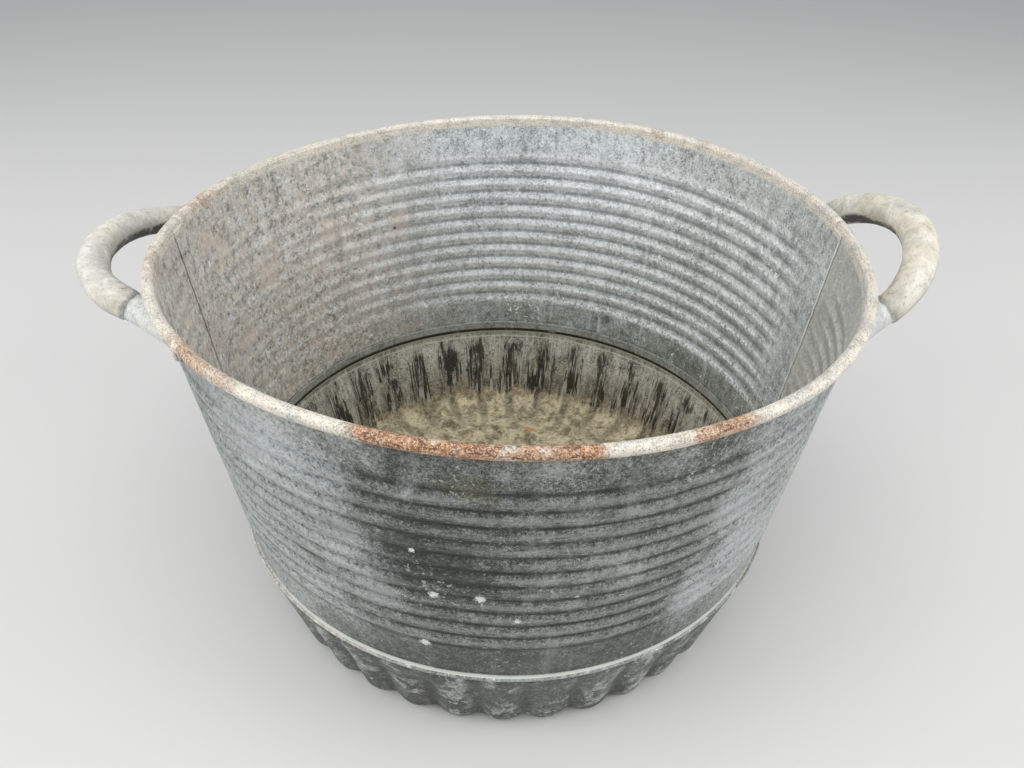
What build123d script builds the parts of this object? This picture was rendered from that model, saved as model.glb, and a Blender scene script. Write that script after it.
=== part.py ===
from build123d import *
from math import acos, asin, atan2, cos, degrees, pi, radians, sin
import os

os.makedirs("parts", exist_ok=True)

# A galvanised wash tub: two ribbed wall halves with lapped side seams, a fluted base pan,
# a steel hoop rolled into the rim and a hollow grip on riveted feet at each side.
# The origin is at the middle of the floor, +X runs through the right-hand handle and the front is -Y.

# Overall sizes
rim_diameter = 580.0
tub_height = 358.0
seam_diameter = 508.0
seam_height = 98.0
base_diameter = 474.0

# Fits: sheet on sheet, a pin in its hole, and the extra length of every cutting solid
seat_gap = 0.15
hole_gap = 0.15
overrun = 5.0

# Rim hoop, and the sheet rolled round it
hoop_wire = 6.6
rim_roll_angle = 303.0

# Wall sheet and its level ribs
wall_sheet = 1.0
rim_band = 40.0
rib_count = 11
rib_pitch = 16.0
rib_width = 10.0
rib_rise = 0.8

# Hem rolled outwards along the lower edge of the wall
hem_bore = 2.4
hem_roll_angle = 245.0

# Side seams: the back half is set inwards and runs behind the front half
lap_width = 15.0
lap_step = 2.0
lap_clear_of_rim = 1.5
lap_clear_of_collar = 3.0

# Base pan: a collar inside the wall, a shoulder under the hem, then flutes down to a flat floor
pan_sheet = 1.2
collar_height = 10.0
shoulder_width = 3.2
shoulder_bend = 1.0
shoulder_drop = 4.0
base_corner = 17.0
flute_count = 38
flute_depth = 5.0
flute_run_out = 0.02
flute_first_angle = -87.4
valley_share = 0.24
crease_share = 0.76
flank_shares = (0.1, 0.25, 0.45, 0.7, 1.0)
flank_depth_shares = (0.12, 0.5, 0.9, 1.0, 1.0)
corner_shares = (0.25, 0.5, 0.75, 1.0)
corner_depth_shares = (0.97, 0.9, 0.78, 0.55)

# Grips: a hollow tube on half an oval that rises outwards from the wall
grip_reach = 342.0
grip_level = 349.0
grip_half_span = 81.5
grip_depth = 62.5
grip_rise_angle = 29.0
grip_diameter = 25.6
grip_end_diameter = 24.0
grip_sheet = 1.2
grip_end_angle = 81.0
grip_stations = 13

# Feet: a pressed stub inside the grip's end that flares into a flange on the wall
foot_sheet = 1.6
foot_level = 325.0
foot_angle = 23.5
foot_flange_length = 108.0
foot_flange_height = 22.0
foot_flare_length = 78.0
foot_flare_height = 19.0
foot_end_diameter = 22.0
foot_neck_length = 5.0
foot_joint_gap = 0.3
stub_angle = 17.0
stub_shares = (1.0, 0.5)

# Rivets: domed outside the wall and low inside it, and thin ones across each stub
wall_rivet = 5.0
wall_rivet_spacing = 90.0
rivet_dome_diameter = 10.0
rivet_dome_height = 2.6
rivet_tail_diameter = 9.0
rivet_tail_height = 0.5
rivet_head_gap = 0.1
grip_rivet = 3.0
grip_rivet_head = 6.0
grip_rivet_head_height = 0.6

# The wall's outer face, in the section plane: a straight line that touches the rim hoop's roll
# and the hem's roll, so both rolls stand outside it.
rim_roll_radius = hoop_wire / 2 + seat_gap
hoop_ring_radius = rim_diameter / 2 - rim_roll_radius - wall_sheet
hoop_level = tub_height - rim_roll_radius - wall_sheet
hem_roll_radius = hem_bore / 2
rim_centre = Vector(hoop_ring_radius, hoop_level)
hem_centre = Vector(seam_diameter / 2 + hem_roll_radius, seam_height)
drop = hem_centre - rim_centre
lean = asin((rim_roll_radius - hem_roll_radius) / drop.length)
down_centres = drop.normalized()
inward = Vector(down_centres.Y, -down_centres.X) * cos(lean) + down_centres * sin(lean)
down = Vector(-inward.Y, inward.X)
wall_length = drop.length * cos(lean)
roll_start_angle = degrees(atan2(inward.Y, inward.X))


def on_wall(along, outward=0.0):
    """A point in the section plane: so far down the wall from the rim, and so far outside its outer face."""
    return rim_centre + inward * (rim_roll_radius - outward) + down * along


def at_height(height, outward=0.0):
    """How far down the wall a height lies, on a line so far outside the wall's outer face."""
    return (height - on_wall(0, outward).Y) / down.Y


# Ribs: shallow arcs outwards, with narrower arcs of the same end slope between them.
groove_width = rib_pitch - rib_width
groove_rise = rib_rise * groove_width / rib_width
rib_slope = 2 * atan2(2 * rib_rise, rib_width)


def rib_lines(depth, start, end):
    """The wall's line at a depth inside its outer face, between two distances down it, ribs included."""
    along_shift = depth * sin(rib_slope)
    flank = groove_rise - depth * cos(rib_slope)
    Line(on_wall(start, -depth), on_wall(rim_band, -depth))
    for rib in range(rib_count):
        groove = rim_band + rib * rib_pitch
        next_groove = groove + rib_pitch
        upper = on_wall(groove + groove_width / 2 + along_shift, flank)
        crest = on_wall(groove + rib_pitch / 2, groove_rise + rib_rise - depth)
        lower = on_wall(next_groove - groove_width / 2 - along_shift, flank)
        TangentArc(on_wall(groove, -depth), upper, tangent=down)
        ThreePointArc(upper, crest, lower)
        TangentArc(on_wall(next_groove, -depth), lower, tangent=-down)
    Line(on_wall(rim_band + rib_count * rib_pitch, -depth), on_wall(end, -depth))


def section_plane(angle):
    """The upright plane through the tub's axis at an angle from +X."""
    return Plane.XZ.rotated((0, 0, angle))


lap_angle = degrees(lap_width / (seam_diameter / 2))
lap_step_angle = degrees(lap_step / (seam_diameter / 2))
edge_gap_angle = degrees(seat_gap / (seam_diameter / 2))
behind_wall = wall_sheet + seat_gap
collar_top = wall_length - collar_height
tab_start = lap_clear_of_rim
tab_end = collar_top - lap_clear_of_collar


def on_ring(centre, radius, angle):
    """A point in the section plane on a circle about a roll's centre."""
    return centre + Vector(cos(radians(angle)), sin(radians(angle))) * radius


def full_section():
    """The sheet's whole section: rolled round the hoop, ribbed, and rolled outwards at the hem."""
    rim_end = roll_start_angle - rim_roll_angle
    hem_end = roll_start_angle + hem_roll_angle
    for depth in (0, wall_sheet):
        CenterArc(rim_centre, rim_roll_radius + depth, rim_end, rim_roll_angle)
        rib_lines(depth, 0, wall_length)
        CenterArc(hem_centre, hem_roll_radius + depth, roll_start_angle, hem_roll_angle)
    Line(
        on_ring(rim_centre, rim_roll_radius, rim_end),
        on_ring(rim_centre, rim_roll_radius + wall_sheet, rim_end),
    )
    Line(
        on_ring(hem_centre, hem_roll_radius, hem_end),
        on_ring(hem_centre, hem_roll_radius + wall_sheet, hem_end),
    )


def tab_section(depth, thickness):
    """The notched strip beside a side seam, which stops short of the rim roll and of the base pan."""
    for face in (depth, depth + thickness):
        rib_lines(face, tab_start, tab_end)
    for end in (tab_start, tab_end):
        Line(on_wall(end, -depth), on_wall(end, -depth - thickness))


def wall_plane(angle, along, outward=0.0):
    """A plane that lies on the wall, with x round the tub, y up the wall and z outwards."""
    place = on_wall(along, outward)
    ray = Vector(cos(radians(angle)), sin(radians(angle)), 0)
    round_tub = Vector(-sin(radians(angle)), cos(radians(angle)), 0)
    up = Vector(0, 0, 1)
    return Plane(
        origin=ray * place.X + up * place.Y,
        x_dir=round_tub,
        z_dir=ray * -inward.X + up * -inward.Y,
    )


# Rivet places on the right-hand side; the left-hand side mirrors them.
foot_along = at_height(foot_level)
foot_radius = on_wall(foot_along).X
rivet_step_angle = degrees(wall_rivet_spacing / 2 / foot_radius)
rivet_angles = [
    side * (foot_angle + step * rivet_step_angle) for side in (-1, 1) for step in (-1, 1)
]
rivet_planes = [wall_plane(angle, foot_along) for angle in rivet_angles]
left_rivet_planes = [wall_plane(180 - angle, foot_along) for angle in rivet_angles]


def drill_wall():
    """The clearance holes for the rivets of both handles."""
    with Locations(*rivet_planes, *left_rivet_planes):
        Cylinder(wall_rivet / 2 + hole_gap, 2 * rivet_dome_diameter, mode=Mode.SUBTRACT)


# Front half: the full section, a lap's half width past the side seam at each end.
with BuildPart() as front_wall:
    with BuildSketch(section_plane(180 - lap_angle / 2)):
        with BuildLine():
            full_section()
        make_face()
    revolve(axis=Axis.Z, revolution_arc=180 + lap_angle)
    drill_wall()

# Back half: the full section between the front half's edges, a step inwards, and a tab behind the lap.
back_edge = lap_angle / 2 + edge_gap_angle
with BuildPart() as back_wall:
    with BuildSketch(section_plane(back_edge)):
        with BuildLine():
            full_section()
        make_face()
    revolve(axis=Axis.Z, revolution_arc=180 - 2 * back_edge)
    for step_start in (back_edge, 180 - back_edge - lap_step_angle):
        with BuildSketch(section_plane(step_start)):
            with BuildLine():
                tab_section(wall_sheet / 2, behind_wall)
            make_face()
        revolve(axis=Axis.Z, revolution_arc=lap_step_angle)
    tab_angle = lap_angle / 2 + back_edge + lap_step_angle
    for tab_edge in (-lap_angle / 2, 180 + lap_angle / 2 - tab_angle):
        with BuildSketch(section_plane(tab_edge)):
            with BuildLine():
                tab_section(behind_wall, wall_sheet)
            make_face()
        revolve(axis=Axis.Z, revolution_arc=tab_angle)
    drill_wall()

# Steel hoop inside the rim roll
with BuildPart() as rim_hoop:
    with BuildSketch(Plane.XZ):
        with Locations(rim_centre):
            Circle(hoop_wire / 2)
    revolve(axis=Axis.Z)

# Base pan, upper part: the collar inside the wall and the shoulder that the hem sits on
shoulder_level = seam_height - hem_roll_radius - wall_sheet - seat_gap
join_level = shoulder_level - shoulder_drop


def collar_stations(depth):
    """The collar's top, its foot, and the shoulder's three corners, at a depth inside the pan's outer face."""
    line = -behind_wall - depth
    level = shoulder_level - depth
    outer_foot = on_wall(at_height(shoulder_level, -behind_wall), -behind_wall)
    edge = outer_foot.X + shoulder_width - depth
    return [
        on_wall(collar_top, line),
        on_wall(at_height(level + shoulder_bend, line), line),
        Vector(edge - shoulder_bend, level),
        Vector(edge, level - shoulder_bend),
        Vector(edge, join_level),
    ]


join_radius = collar_stations(0.0)[-1].X

# Base pan, lower part: a straight flank that meets the floor in a rounded corner
corner_radius_centre = base_diameter / 2 - base_corner
to_join = Vector(join_radius - corner_radius_centre, join_level - base_corner)
flank_angle = acos(base_corner / to_join.length) - atan2(to_join.Y, to_join.X)


def base_corner_point(turn):
    """A point on the rounded corner: 0 is its outermost point and a quarter turn is the floor."""
    return Vector(
        corner_radius_centre + base_corner * cos(turn),
        base_corner - base_corner * sin(turn),
    )


def base_stations(depth):
    """Radius, height and flute depth of each section of the pan, at a depth inside its outer face."""
    stations = [(place.X, place.Y, flute_run_out) for place in collar_stations(depth)]
    flank_foot = base_corner_point(flank_angle)
    for share, flute_share in zip(flank_shares, flank_depth_shares):
        radius = join_radius + (flank_foot.X - join_radius) * share - depth * cos(flank_angle)
        height = join_level + (flank_foot.Y - join_level) * share + depth * sin(flank_angle)
        stations.append((radius, height, flute_depth * flute_share))
    for share, flute_share in zip(corner_shares, corner_depth_shares):
        turn = flank_angle + (pi / 2 - flank_angle) * share
        place = base_corner_point(turn)
        radius = place.X - depth * cos(turn)
        height = place.Y + depth * sin(turn)
        stations.append((radius, height, flute_depth * flute_share))
    return stations


def flute_outline(radius, depth):
    """One level section of the flutes: wide lobes on the given radius with narrow valleys between them."""
    pitch = 360 / flute_count
    valley = pitch * valley_share
    crease_radius = radius - depth * crease_share
    for flute in range(flute_count):
        middle = flute_first_angle + flute * pitch
        edge = middle + valley / 2
        next_edge = middle + pitch - valley / 2
        ThreePointArc(
            on_ring(Vector(0, 0), crease_radius, middle - valley / 2),
            on_ring(Vector(0, 0), radius - depth, middle),
            on_ring(Vector(0, 0), crease_radius, edge),
        )
        ThreePointArc(
            on_ring(Vector(0, 0), crease_radius, edge),
            on_ring(Vector(0, 0), radius, (edge + next_edge) / 2),
            on_ring(Vector(0, 0), crease_radius, next_edge),
        )


with BuildPart() as base_pan:
    for inset, loft_mode in ((0.0, Mode.ADD), (pan_sheet, Mode.SUBTRACT)):
        for radius, height, flute in base_stations(inset):
            with BuildSketch(Plane.XY.offset(height)):
                with BuildLine():
                    flute_outline(radius, flute)
                make_face()
        loft(ruled=True, mode=loft_mode)

# Grips: circles square to an oval centreline that rises outwards from the wall
rise = radians(grip_rise_angle)
grip_out = Vector(cos(rise), 0, sin(rise))
grip_up = Vector(-sin(rise), 0, cos(rise))
grip_across = Vector(0, 1, 0)
grip_centre = Vector(grip_reach, 0, grip_level) - grip_out * grip_depth


def grip_plane(angle):
    """The plane square to the right-hand grip's centreline, at an angle from its outermost point."""
    turn = radians(angle)
    return Plane(
        origin=grip_centre
        + grip_across * (grip_half_span * sin(turn))
        + grip_out * (grip_depth * cos(turn)),
        x_dir=grip_up,
        z_dir=grip_across * (grip_half_span * cos(turn)) - grip_out * (grip_depth * sin(turn)),
    )


def grip_radius(angle):
    """The grip is thickest in the middle and tapers to its ends."""
    swell = grip_diameter - grip_end_diameter
    return (grip_end_diameter + swell * cos(radians(90 * angle / grip_end_angle))) / 2


grip_rivet_angle = grip_end_angle - stub_angle / 2
grip_rivet_planes = [
    Plane(origin=grip_plane(side * grip_rivet_angle).origin, z_dir=grip_up) for side in (-1, 1)
]


def drill_grip():
    """The clearance holes for the rivets across the grip's ends."""
    with Locations(*grip_rivet_planes):
        Cylinder(grip_rivet / 2 + hole_gap, 2 * grip_diameter, mode=Mode.SUBTRACT)


with BuildPart() as right_grip:
    for inset, loft_mode in ((0.0, Mode.ADD), (grip_sheet, Mode.SUBTRACT)):
        for station in range(grip_stations):
            station_angle = grip_end_angle * (2 * station / (grip_stations - 1) - 1)
            with BuildSketch(grip_plane(station_angle)):
                Circle(grip_radius(station_angle) - inset)
        loft(mode=loft_mode)
    drill_grip()

# Feet: the stub follows the grip's centreline, then the neck turns level and flares onto the wall
stub_radius = grip_end_diameter / 2 - grip_sheet - seat_gap
joint = grip_plane(grip_end_angle)
joint_clear = Plane(
    origin=joint.origin + joint.z_dir * foot_joint_gap,
    x_dir=joint.x_dir,
    z_dir=joint.z_dir,
)
stub_planes = [grip_plane(grip_end_angle - stub_angle * share) for share in stub_shares]
stub_planes.append(joint_clear)
foot_target = wall_plane(foot_angle, foot_along)
neck_origin = joint.origin + joint.z_dir * foot_neck_length
half_way = joint.z_dir + (foot_target.origin - neck_origin).normalized()
neck = Plane(origin=neck_origin, x_dir=grip_up, z_dir=half_way)


def foot_seat(depth):
    """The plane just inside the wall where the flare ends, turned to match the neck's circles."""
    flat = wall_plane(foot_angle, foot_along, -depth)
    return Plane(origin=flat.origin, x_dir=flat.y_dir, z_dir=-flat.z_dir)


def wall_band(inner, outer):
    """The section of a ring along the wall between two distances outside its outer face."""
    Polygon(
        on_wall(foot_along - foot_flange_height, inner),
        on_wall(foot_along + foot_flange_height, inner),
        on_wall(foot_along + foot_flange_height, outer),
        on_wall(foot_along - foot_flange_height, outer),
        align=None,
    )


with BuildPart() as right_rear_foot:
    # Flange: an oval plate bent to the wall
    with BuildSketch(Plane.XZ):
        wall_band(seat_gap, seat_gap + foot_sheet)
    revolve(axis=Axis.Z, revolution_arc=2 * foot_angle)
    with BuildSketch(wall_plane(foot_angle, foot_along, -foot_flange_height)):
        Ellipse(foot_flange_length / 2, foot_flange_height / 2)
    extrude(amount=2 * foot_flange_height, mode=Mode.INTERSECT)
    # Flare from the neck to the wall, trimmed to the wall, then the neck itself
    with BuildSketch(neck):
        Circle(foot_end_diameter / 2)
    with BuildSketch(foot_seat(overrun)):
        Ellipse(foot_flare_height / 2, foot_flare_length / 2)
    loft()
    with BuildSketch(Plane.XZ):
        wall_band(-2 * overrun, seat_gap)
    revolve(axis=Axis.Z, revolution_arc=2 * foot_angle, mode=Mode.SUBTRACT)
    for neck_end in (joint_clear, neck):
        with BuildSketch(neck_end):
            Circle(foot_end_diameter / 2)
    loft()
    # Stub inside the grip
    for stub_plane in stub_planes:
        with BuildSketch(stub_plane):
            Circle(stub_radius)
    loft()
    # Bore through the flare, the neck and the stub
    with BuildSketch(neck):
        Circle(foot_end_diameter / 2 - foot_sheet)
    with BuildSketch(foot_seat(overrun)):
        Ellipse(foot_flare_height / 2 - foot_sheet, foot_flare_length / 2 - foot_sheet)
    loft(mode=Mode.SUBTRACT)
    for neck_end, bore_radius in ((stub_planes[-1], stub_radius), (neck, foot_end_diameter / 2)):
        with BuildSketch(neck_end):
            Circle(bore_radius - foot_sheet)
    loft(mode=Mode.SUBTRACT)
    for stub_plane in stub_planes:
        with BuildSketch(stub_plane):
            Circle(stub_radius - foot_sheet)
    loft(mode=Mode.SUBTRACT)
    drill_grip()
    drill_wall()

# Rivets through foot and wall: a dome outside, a low tail inside
dome_level = seat_gap + foot_sheet + rivet_head_gap
tail_level = -wall_sheet - rivet_head_gap
with BuildPart() as rivet_blank:
    with BuildSketch(Plane.XZ):
        with BuildLine():
            Polyline(
                (0, dome_level + rivet_dome_height),
                (0, tail_level - rivet_tail_height),
                (rivet_tail_diameter / 2, tail_level - rivet_tail_height),
                (rivet_tail_diameter / 2, tail_level),
                (wall_rivet / 2, tail_level),
                (wall_rivet / 2, dome_level),
                (rivet_dome_diameter / 2, dome_level),
            )
            RadiusArc(
                (rivet_dome_diameter / 2, dome_level),
                (0, dome_level + rivet_dome_height),
                -((rivet_dome_diameter / 2) ** 2 + rivet_dome_height**2) / (2 * rivet_dome_height),
            )
        make_face()
    revolve(axis=Axis.Z)

with BuildPart() as right_foot_rivets:
    with Locations(*rivet_planes):
        add(rivet_blank.part)

with BuildPart() as left_foot_rivets:
    with Locations(*left_rivet_planes):
        add(rivet_blank.part)

# Rivets across the grip's ends: a thin pin with a low head above and below
grip_rivet_head_level = grip_radius(grip_rivet_angle) + rivet_head_gap
with BuildPart() as right_grip_rivets:
    with Locations(*grip_rivet_planes):
        Cylinder(grip_rivet / 2, 2 * (grip_rivet_head_level + grip_rivet_head_height))
        for side in (-1, 1):
            with Locations((0, 0, side * (grip_rivet_head_level + grip_rivet_head_height / 2))):
                Cylinder(grip_rivet_head / 2, grip_rivet_head_height)

# The front foot mirrors the rear one, and the left-hand handle mirrors the right-hand one.
with BuildPart() as right_front_foot:
    add(mirror(right_rear_foot.part, about=Plane.XZ, mode=Mode.PRIVATE))

with BuildPart() as left_grip:
    add(mirror(right_grip.part, about=Plane.YZ, mode=Mode.PRIVATE))

with BuildPart() as left_rear_foot:
    add(mirror(right_rear_foot.part, about=Plane.YZ, mode=Mode.PRIVATE))

with BuildPart() as left_front_foot:
    add(mirror(right_front_foot.part, about=Plane.YZ, mode=Mode.PRIVATE))

with BuildPart() as left_grip_rivets:
    add(mirror(right_grip_rivets.part, about=Plane.YZ, mode=Mode.PRIVATE))

# One file per piece
front_wall.part.label = "front_wall"
export_step(front_wall.part, "parts/front_wall.step")
back_wall.part.label = "back_wall"
export_step(back_wall.part, "parts/back_wall.step")
rim_hoop.part.label = "rim_hoop"
export_step(rim_hoop.part, "parts/rim_hoop.step")
base_pan.part.label = "base_pan"
export_step(base_pan.part, "parts/base_pan.step")
right_grip.part.label = "right_grip"
export_step(right_grip.part, "parts/right_grip.step")
right_front_foot.part.label = "right_front_foot"
export_step(right_front_foot.part, "parts/right_front_foot.step")
right_rear_foot.part.label = "right_rear_foot"
export_step(right_rear_foot.part, "parts/right_rear_foot.step")
right_foot_rivets.part.label = "right_foot_rivets"
export_step(right_foot_rivets.part, "parts/right_foot_rivets.step")
right_grip_rivets.part.label = "right_grip_rivets"
export_step(right_grip_rivets.part, "parts/right_grip_rivets.step")
left_grip.part.label = "left_grip"
export_step(left_grip.part, "parts/left_grip.step")
left_front_foot.part.label = "left_front_foot"
export_step(left_front_foot.part, "parts/left_front_foot.step")
left_rear_foot.part.label = "left_rear_foot"
export_step(left_rear_foot.part, "parts/left_rear_foot.step")
left_foot_rivets.part.label = "left_foot_rivets"
export_step(left_foot_rivets.part, "parts/left_foot_rivets.step")
left_grip_rivets.part.label = "left_grip_rivets"
export_step(left_grip_rivets.part, "parts/left_grip_rivets.step")
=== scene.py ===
# %% [markdown]
# # An old galvanised wash tub
#
# The tub is two ribbed sheet halves with lapped side seams, a steel hoop rolled into the rim, a fluted
# base pan and a hollow grip on pressed feet at each side. The frame holds the engineered solids. This
# notebook makes a worn skin for each of them: the same sizes, with the soft edges, small dents, chalky
# bloom, rust and dried silt that years of use have left.

# %% Load the frame
from math import acos, asin, atan2, cos, degrees, exp, hypot, pi, radians, sin, tau

import bmesh
import bpy
from mathutils import Matrix, Vector, noise


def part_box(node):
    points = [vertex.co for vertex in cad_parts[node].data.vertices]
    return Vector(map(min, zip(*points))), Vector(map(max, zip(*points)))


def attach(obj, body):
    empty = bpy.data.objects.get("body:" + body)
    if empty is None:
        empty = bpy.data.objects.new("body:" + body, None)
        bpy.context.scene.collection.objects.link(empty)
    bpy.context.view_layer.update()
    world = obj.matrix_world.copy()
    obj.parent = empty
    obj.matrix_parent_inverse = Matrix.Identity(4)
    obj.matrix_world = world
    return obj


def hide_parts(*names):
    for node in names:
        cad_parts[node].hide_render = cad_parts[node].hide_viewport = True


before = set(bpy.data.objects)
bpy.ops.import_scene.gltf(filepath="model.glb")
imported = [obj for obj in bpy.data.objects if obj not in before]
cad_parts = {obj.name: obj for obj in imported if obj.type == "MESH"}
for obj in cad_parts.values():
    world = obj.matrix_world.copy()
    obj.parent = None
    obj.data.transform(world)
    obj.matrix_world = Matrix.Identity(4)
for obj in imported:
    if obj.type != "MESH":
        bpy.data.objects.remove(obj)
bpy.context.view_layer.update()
print("nodes:", ", ".join(sorted(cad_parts)))

# %% [markdown]
# ## Sizes
#
# Lengths are in metres. What the frame can tell is read from it, so a piece can't drift from the solid
# that it stands for. The thin gaps and the steps in the sheet are the values that the tub was drawn with.

# %% Sizes of the sheet, the rim and the hem
MM = 0.001
SHEET = 1.0 * MM
GAP = 0.15 * MM
HOOP_LOW, HOOP_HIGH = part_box("rim_hoop")
HOOP_WIRE = HOOP_HIGH.z - HOOP_LOW.z
RIM_ROLL = HOOP_WIRE / 2 + GAP
RIM_CENTRE = Vector((HOOP_HIGH.x - HOOP_WIRE / 2, HOOP_LOW.z + HOOP_WIRE / 2))
HEM_ROLL = 1.2 * MM
HEM_CENTRE = Vector((254 * MM + HEM_ROLL, 98 * MM))
RIM_TURN = radians(303)
HEM_TURN = radians(245)
TUB_RADIUS = RIM_CENTRE.x
print("rim centre", [round(v, 4) for v in RIM_CENTRE], "hoop wire", round(HOOP_WIRE, 4))

# %% [markdown]
# The wall's section is drawn in a plane through the axis, with x outwards and y up. The wall is the
# straight line that touches the hoop's roll and the hem's roll, both of which stand outside it.

# %% The wall's line
_drop = HEM_CENTRE - RIM_CENTRE
_lean = asin((RIM_ROLL - HEM_ROLL) / _drop.length)
_straight = _drop.normalized()
INWARD = Vector((_straight.y, -_straight.x)) * cos(_lean) + _straight * sin(_lean)
DOWN = Vector((-INWARD.y, INWARD.x))
WALL_LENGTH = _drop.length * cos(_lean)
ROLL_START = atan2(INWARD.y, INWARD.x)


def on_wall(along, outward=0.0):
    """A point of the section: so far down the wall from the rim, so far outside its outer face."""
    return RIM_CENTRE + INWARD * (RIM_ROLL - outward) + DOWN * along


def down_the_wall(radius, height):
    """How far down the wall a place lies."""
    return (Vector((radius, height)) - on_wall(0)).dot(DOWN)


def at_height(height, outward=0.0):
    """How far down the wall a height lies."""
    return (height - on_wall(0, outward).y) / DOWN.y


print("wall length", round(WALL_LENGTH, 4), "lean", round(degrees(atan2(-DOWN.x, -DOWN.y)), 2))

# %% [markdown]
# ## Wear in the shape
#
# A sheet tub is never quite round. Every vertex of every piece goes through one function, which moves
# it by a small, smooth amount that depends only on where it is. Pieces that touch keep touching, and
# the floor stays flat.

# %% Out of round, ripples and dents
# At the rim: how far out of round it is, once and a half more round, and how far it is twisted up and down
OVAL = -3.3 * MM
THREE_SIDED = -1.8 * MM
TWIST = 3.6 * MM
WEAR_TURN = radians(2)
RIPPLE = 0.55 * MM
RIPPLE_SIZE = 0.09
# A dent: angle in degrees, height, half width, half height, depth (inwards is positive)
DENTS = (
    (-99, 0.205, 0.030, 0.050, 1.6 * MM),
    (-88, 0.250, 0.045, 0.016, 0.9 * MM),
    (-63, 0.170, 0.050, 0.030, 1.1 * MM),
    (-118, 0.130, 0.040, 0.020, 1.0 * MM),
    (-31, 0.285, 0.030, 0.030, 1.0 * MM),
    (38, 0.300, 0.050, 0.035, 1.2 * MM),
    (76, 0.230, 0.060, 0.040, 1.3 * MM),
    (122, 0.180, 0.050, 0.050, 1.2 * MM),
    (160, 0.255, 0.040, 0.060, 1.4 * MM),
    (205, 0.190, 0.050, 0.040, 1.2 * MM),
)


# A grip's line meets the wall about here. The right grip is bent up and out, the left one down and in
GRIP_HINGE = Vector((287.5 * MM, 318.7 * MM))
GRIP_BENT = {1: radians(8.5), -1: radians(-9.5)}
GRIP_PULLED = {1: 1.07, -1: 0.955}


def smooth_step(value, low, high):
    """0 below low and 1 above high, with a smooth rise between."""
    share = min(max((value - low) / (high - low), 0.0), 1.0)
    return share * share * (3 - 2 * share)


def bent_place(co):
    """Turns what lies well outside the rim, up or down about the line where the grips meet the wall."""
    side = 1 if co.x > 0 else -1
    share = smooth_step(abs(co.x) - GRIP_HINGE.x, 3 * MM, 30 * MM)
    if share == 0:
        return co.copy()
    turn = Matrix.Rotation(GRIP_BENT[side] * share, 2)
    pulled = 1 + (GRIP_PULLED[side] - 1) * share
    moved = GRIP_HINGE + turn @ (Vector((abs(co.x), co.z)) - GRIP_HINGE) * pulled
    return Vector((side * moved.x, co.y, moved.y))


def worn_place(new_place):
    """Where a point of the new tub lies on the worn one."""
    co = bent_place(new_place)
    radius = hypot(co.x, co.y)
    if radius < MM:
        return co
    angle = atan2(co.y, co.x)
    lift = min(max(co.z / RIM_CENTRE.y, 0.0), 1.1)
    turned = angle + WEAR_TURN
    move = (OVAL * cos(2 * turned) + THREE_SIDED * sin(3 * turned)) * lift * lift
    rise = TWIST * sin(2 * turned) * lift * lift
    ripple = noise.noise(co / RIPPLE_SIZE) + 0.5 * noise.noise(co / RIPPLE_SIZE * 2.3)
    move += RIPPLE * ripple * lift * min(radius / TUB_RADIUS, 1.0)
    for turn, height, half_width, half_height, depth in DENTS:
        across = (angle - radians(turn) + pi) % tau - pi
        reach = (across * radius / half_width) ** 2 + ((co.z - height) / half_height) ** 2
        if reach < 9:
            move -= depth * exp(-reach)
    share = (radius + move) / radius
    return Vector((co.x * share, co.y * share, co.z + rise))


def wear(bm):
    """Moves every vertex to its worn place."""
    for vert in bm.verts:
        vert.co = worn_place(vert.co)


# %% [markdown]
# ## Helpers for making pieces
#
# A section is a chain of vertices and edges, and the spin operator turns it about the axis, as a sheet
# roller does. A finished piece rides on the tub's one body and stands for its solid.

# %% Chain, spin and finish helpers
def chain(bm, points):
    """A chain of edges through points of the section, in the plane of +X and +Z."""
    verts = [bm.verts.new((x, 0, z)) for x, z in points]
    edges = [bm.edges.new(pair) for pair in zip(verts, verts[1:])]
    return verts, edges


def spin_section(bm, points, start, turn, steps):
    """Spins a section about the tub's axis from a start angle, both angles in radians."""
    verts, edges = chain(bm, points)
    bmesh.ops.rotate(bm, verts=verts, matrix=Matrix.Rotation(start, 3, "Z"))
    full = turn > tau - 1e-6
    bmesh.ops.spin(
        bm,
        geom=verts + edges,
        cent=(0, 0, 0),
        axis=(0, 0, 1),
        angle=turn,
        steps=steps,
        use_merge=full,
        use_duplicate=False,
    )


def arc(centre, radius, start, turn, count):
    """Points on an arc of the section."""
    return [
        centre + Vector((cos(start + turn * i / count), sin(start + turn * i / count))) * radius
        for i in range(count + 1)
    ]


def mark(bm, name, rule):
    """Writes a named value to every vertex, for the materials to read."""
    layer = bm.verts.layers.float.get(name) or bm.verts.layers.float.new(name)
    for vert in bm.verts:
        vert[layer] = rule(vert.co)


def face_out(bm):
    """Makes all normals agree, so that the face farthest from the tub's axis looks away from it."""
    bmesh.ops.recalc_face_normals(bm, faces=bm.faces)
    farthest = max(bm.faces, key=lambda face: face.calc_center_median().to_2d().length)
    if farthest.normal.to_2d().dot(farthest.calc_center_median().to_2d()) < 0:
        bmesh.ops.reverse_faces(bm, faces=bm.faces)


def finish_piece(bm, name, node, materials, sheet=0.0, even=True):
    """Makes the object, gives it its thickness and materials, and ties it to the frame."""
    mesh = bpy.data.meshes.new(name)
    bm.to_mesh(mesh)
    bm.free()
    piece = bpy.data.objects.new(name, mesh)
    bpy.context.scene.collection.objects.link(piece)
    for material in materials:
        mesh.materials.append(material)
    mesh.shade_smooth()
    if sheet:
        wall = piece.modifiers.new("thickness", "SOLIDIFY")
        wall.thickness = sheet
        wall.offset = -1.0
        wall.use_even_offset = even
        wall.use_quality_normals = True
        wall.material_offset = len(materials) - 1
        wall.material_offset_rim = 0
    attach(piece, "root")
    if node:
        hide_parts(node)
    print(f"{name}: {len(mesh.vertices)} vertices, {len(mesh.polygons)} faces")
    return piece


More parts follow.
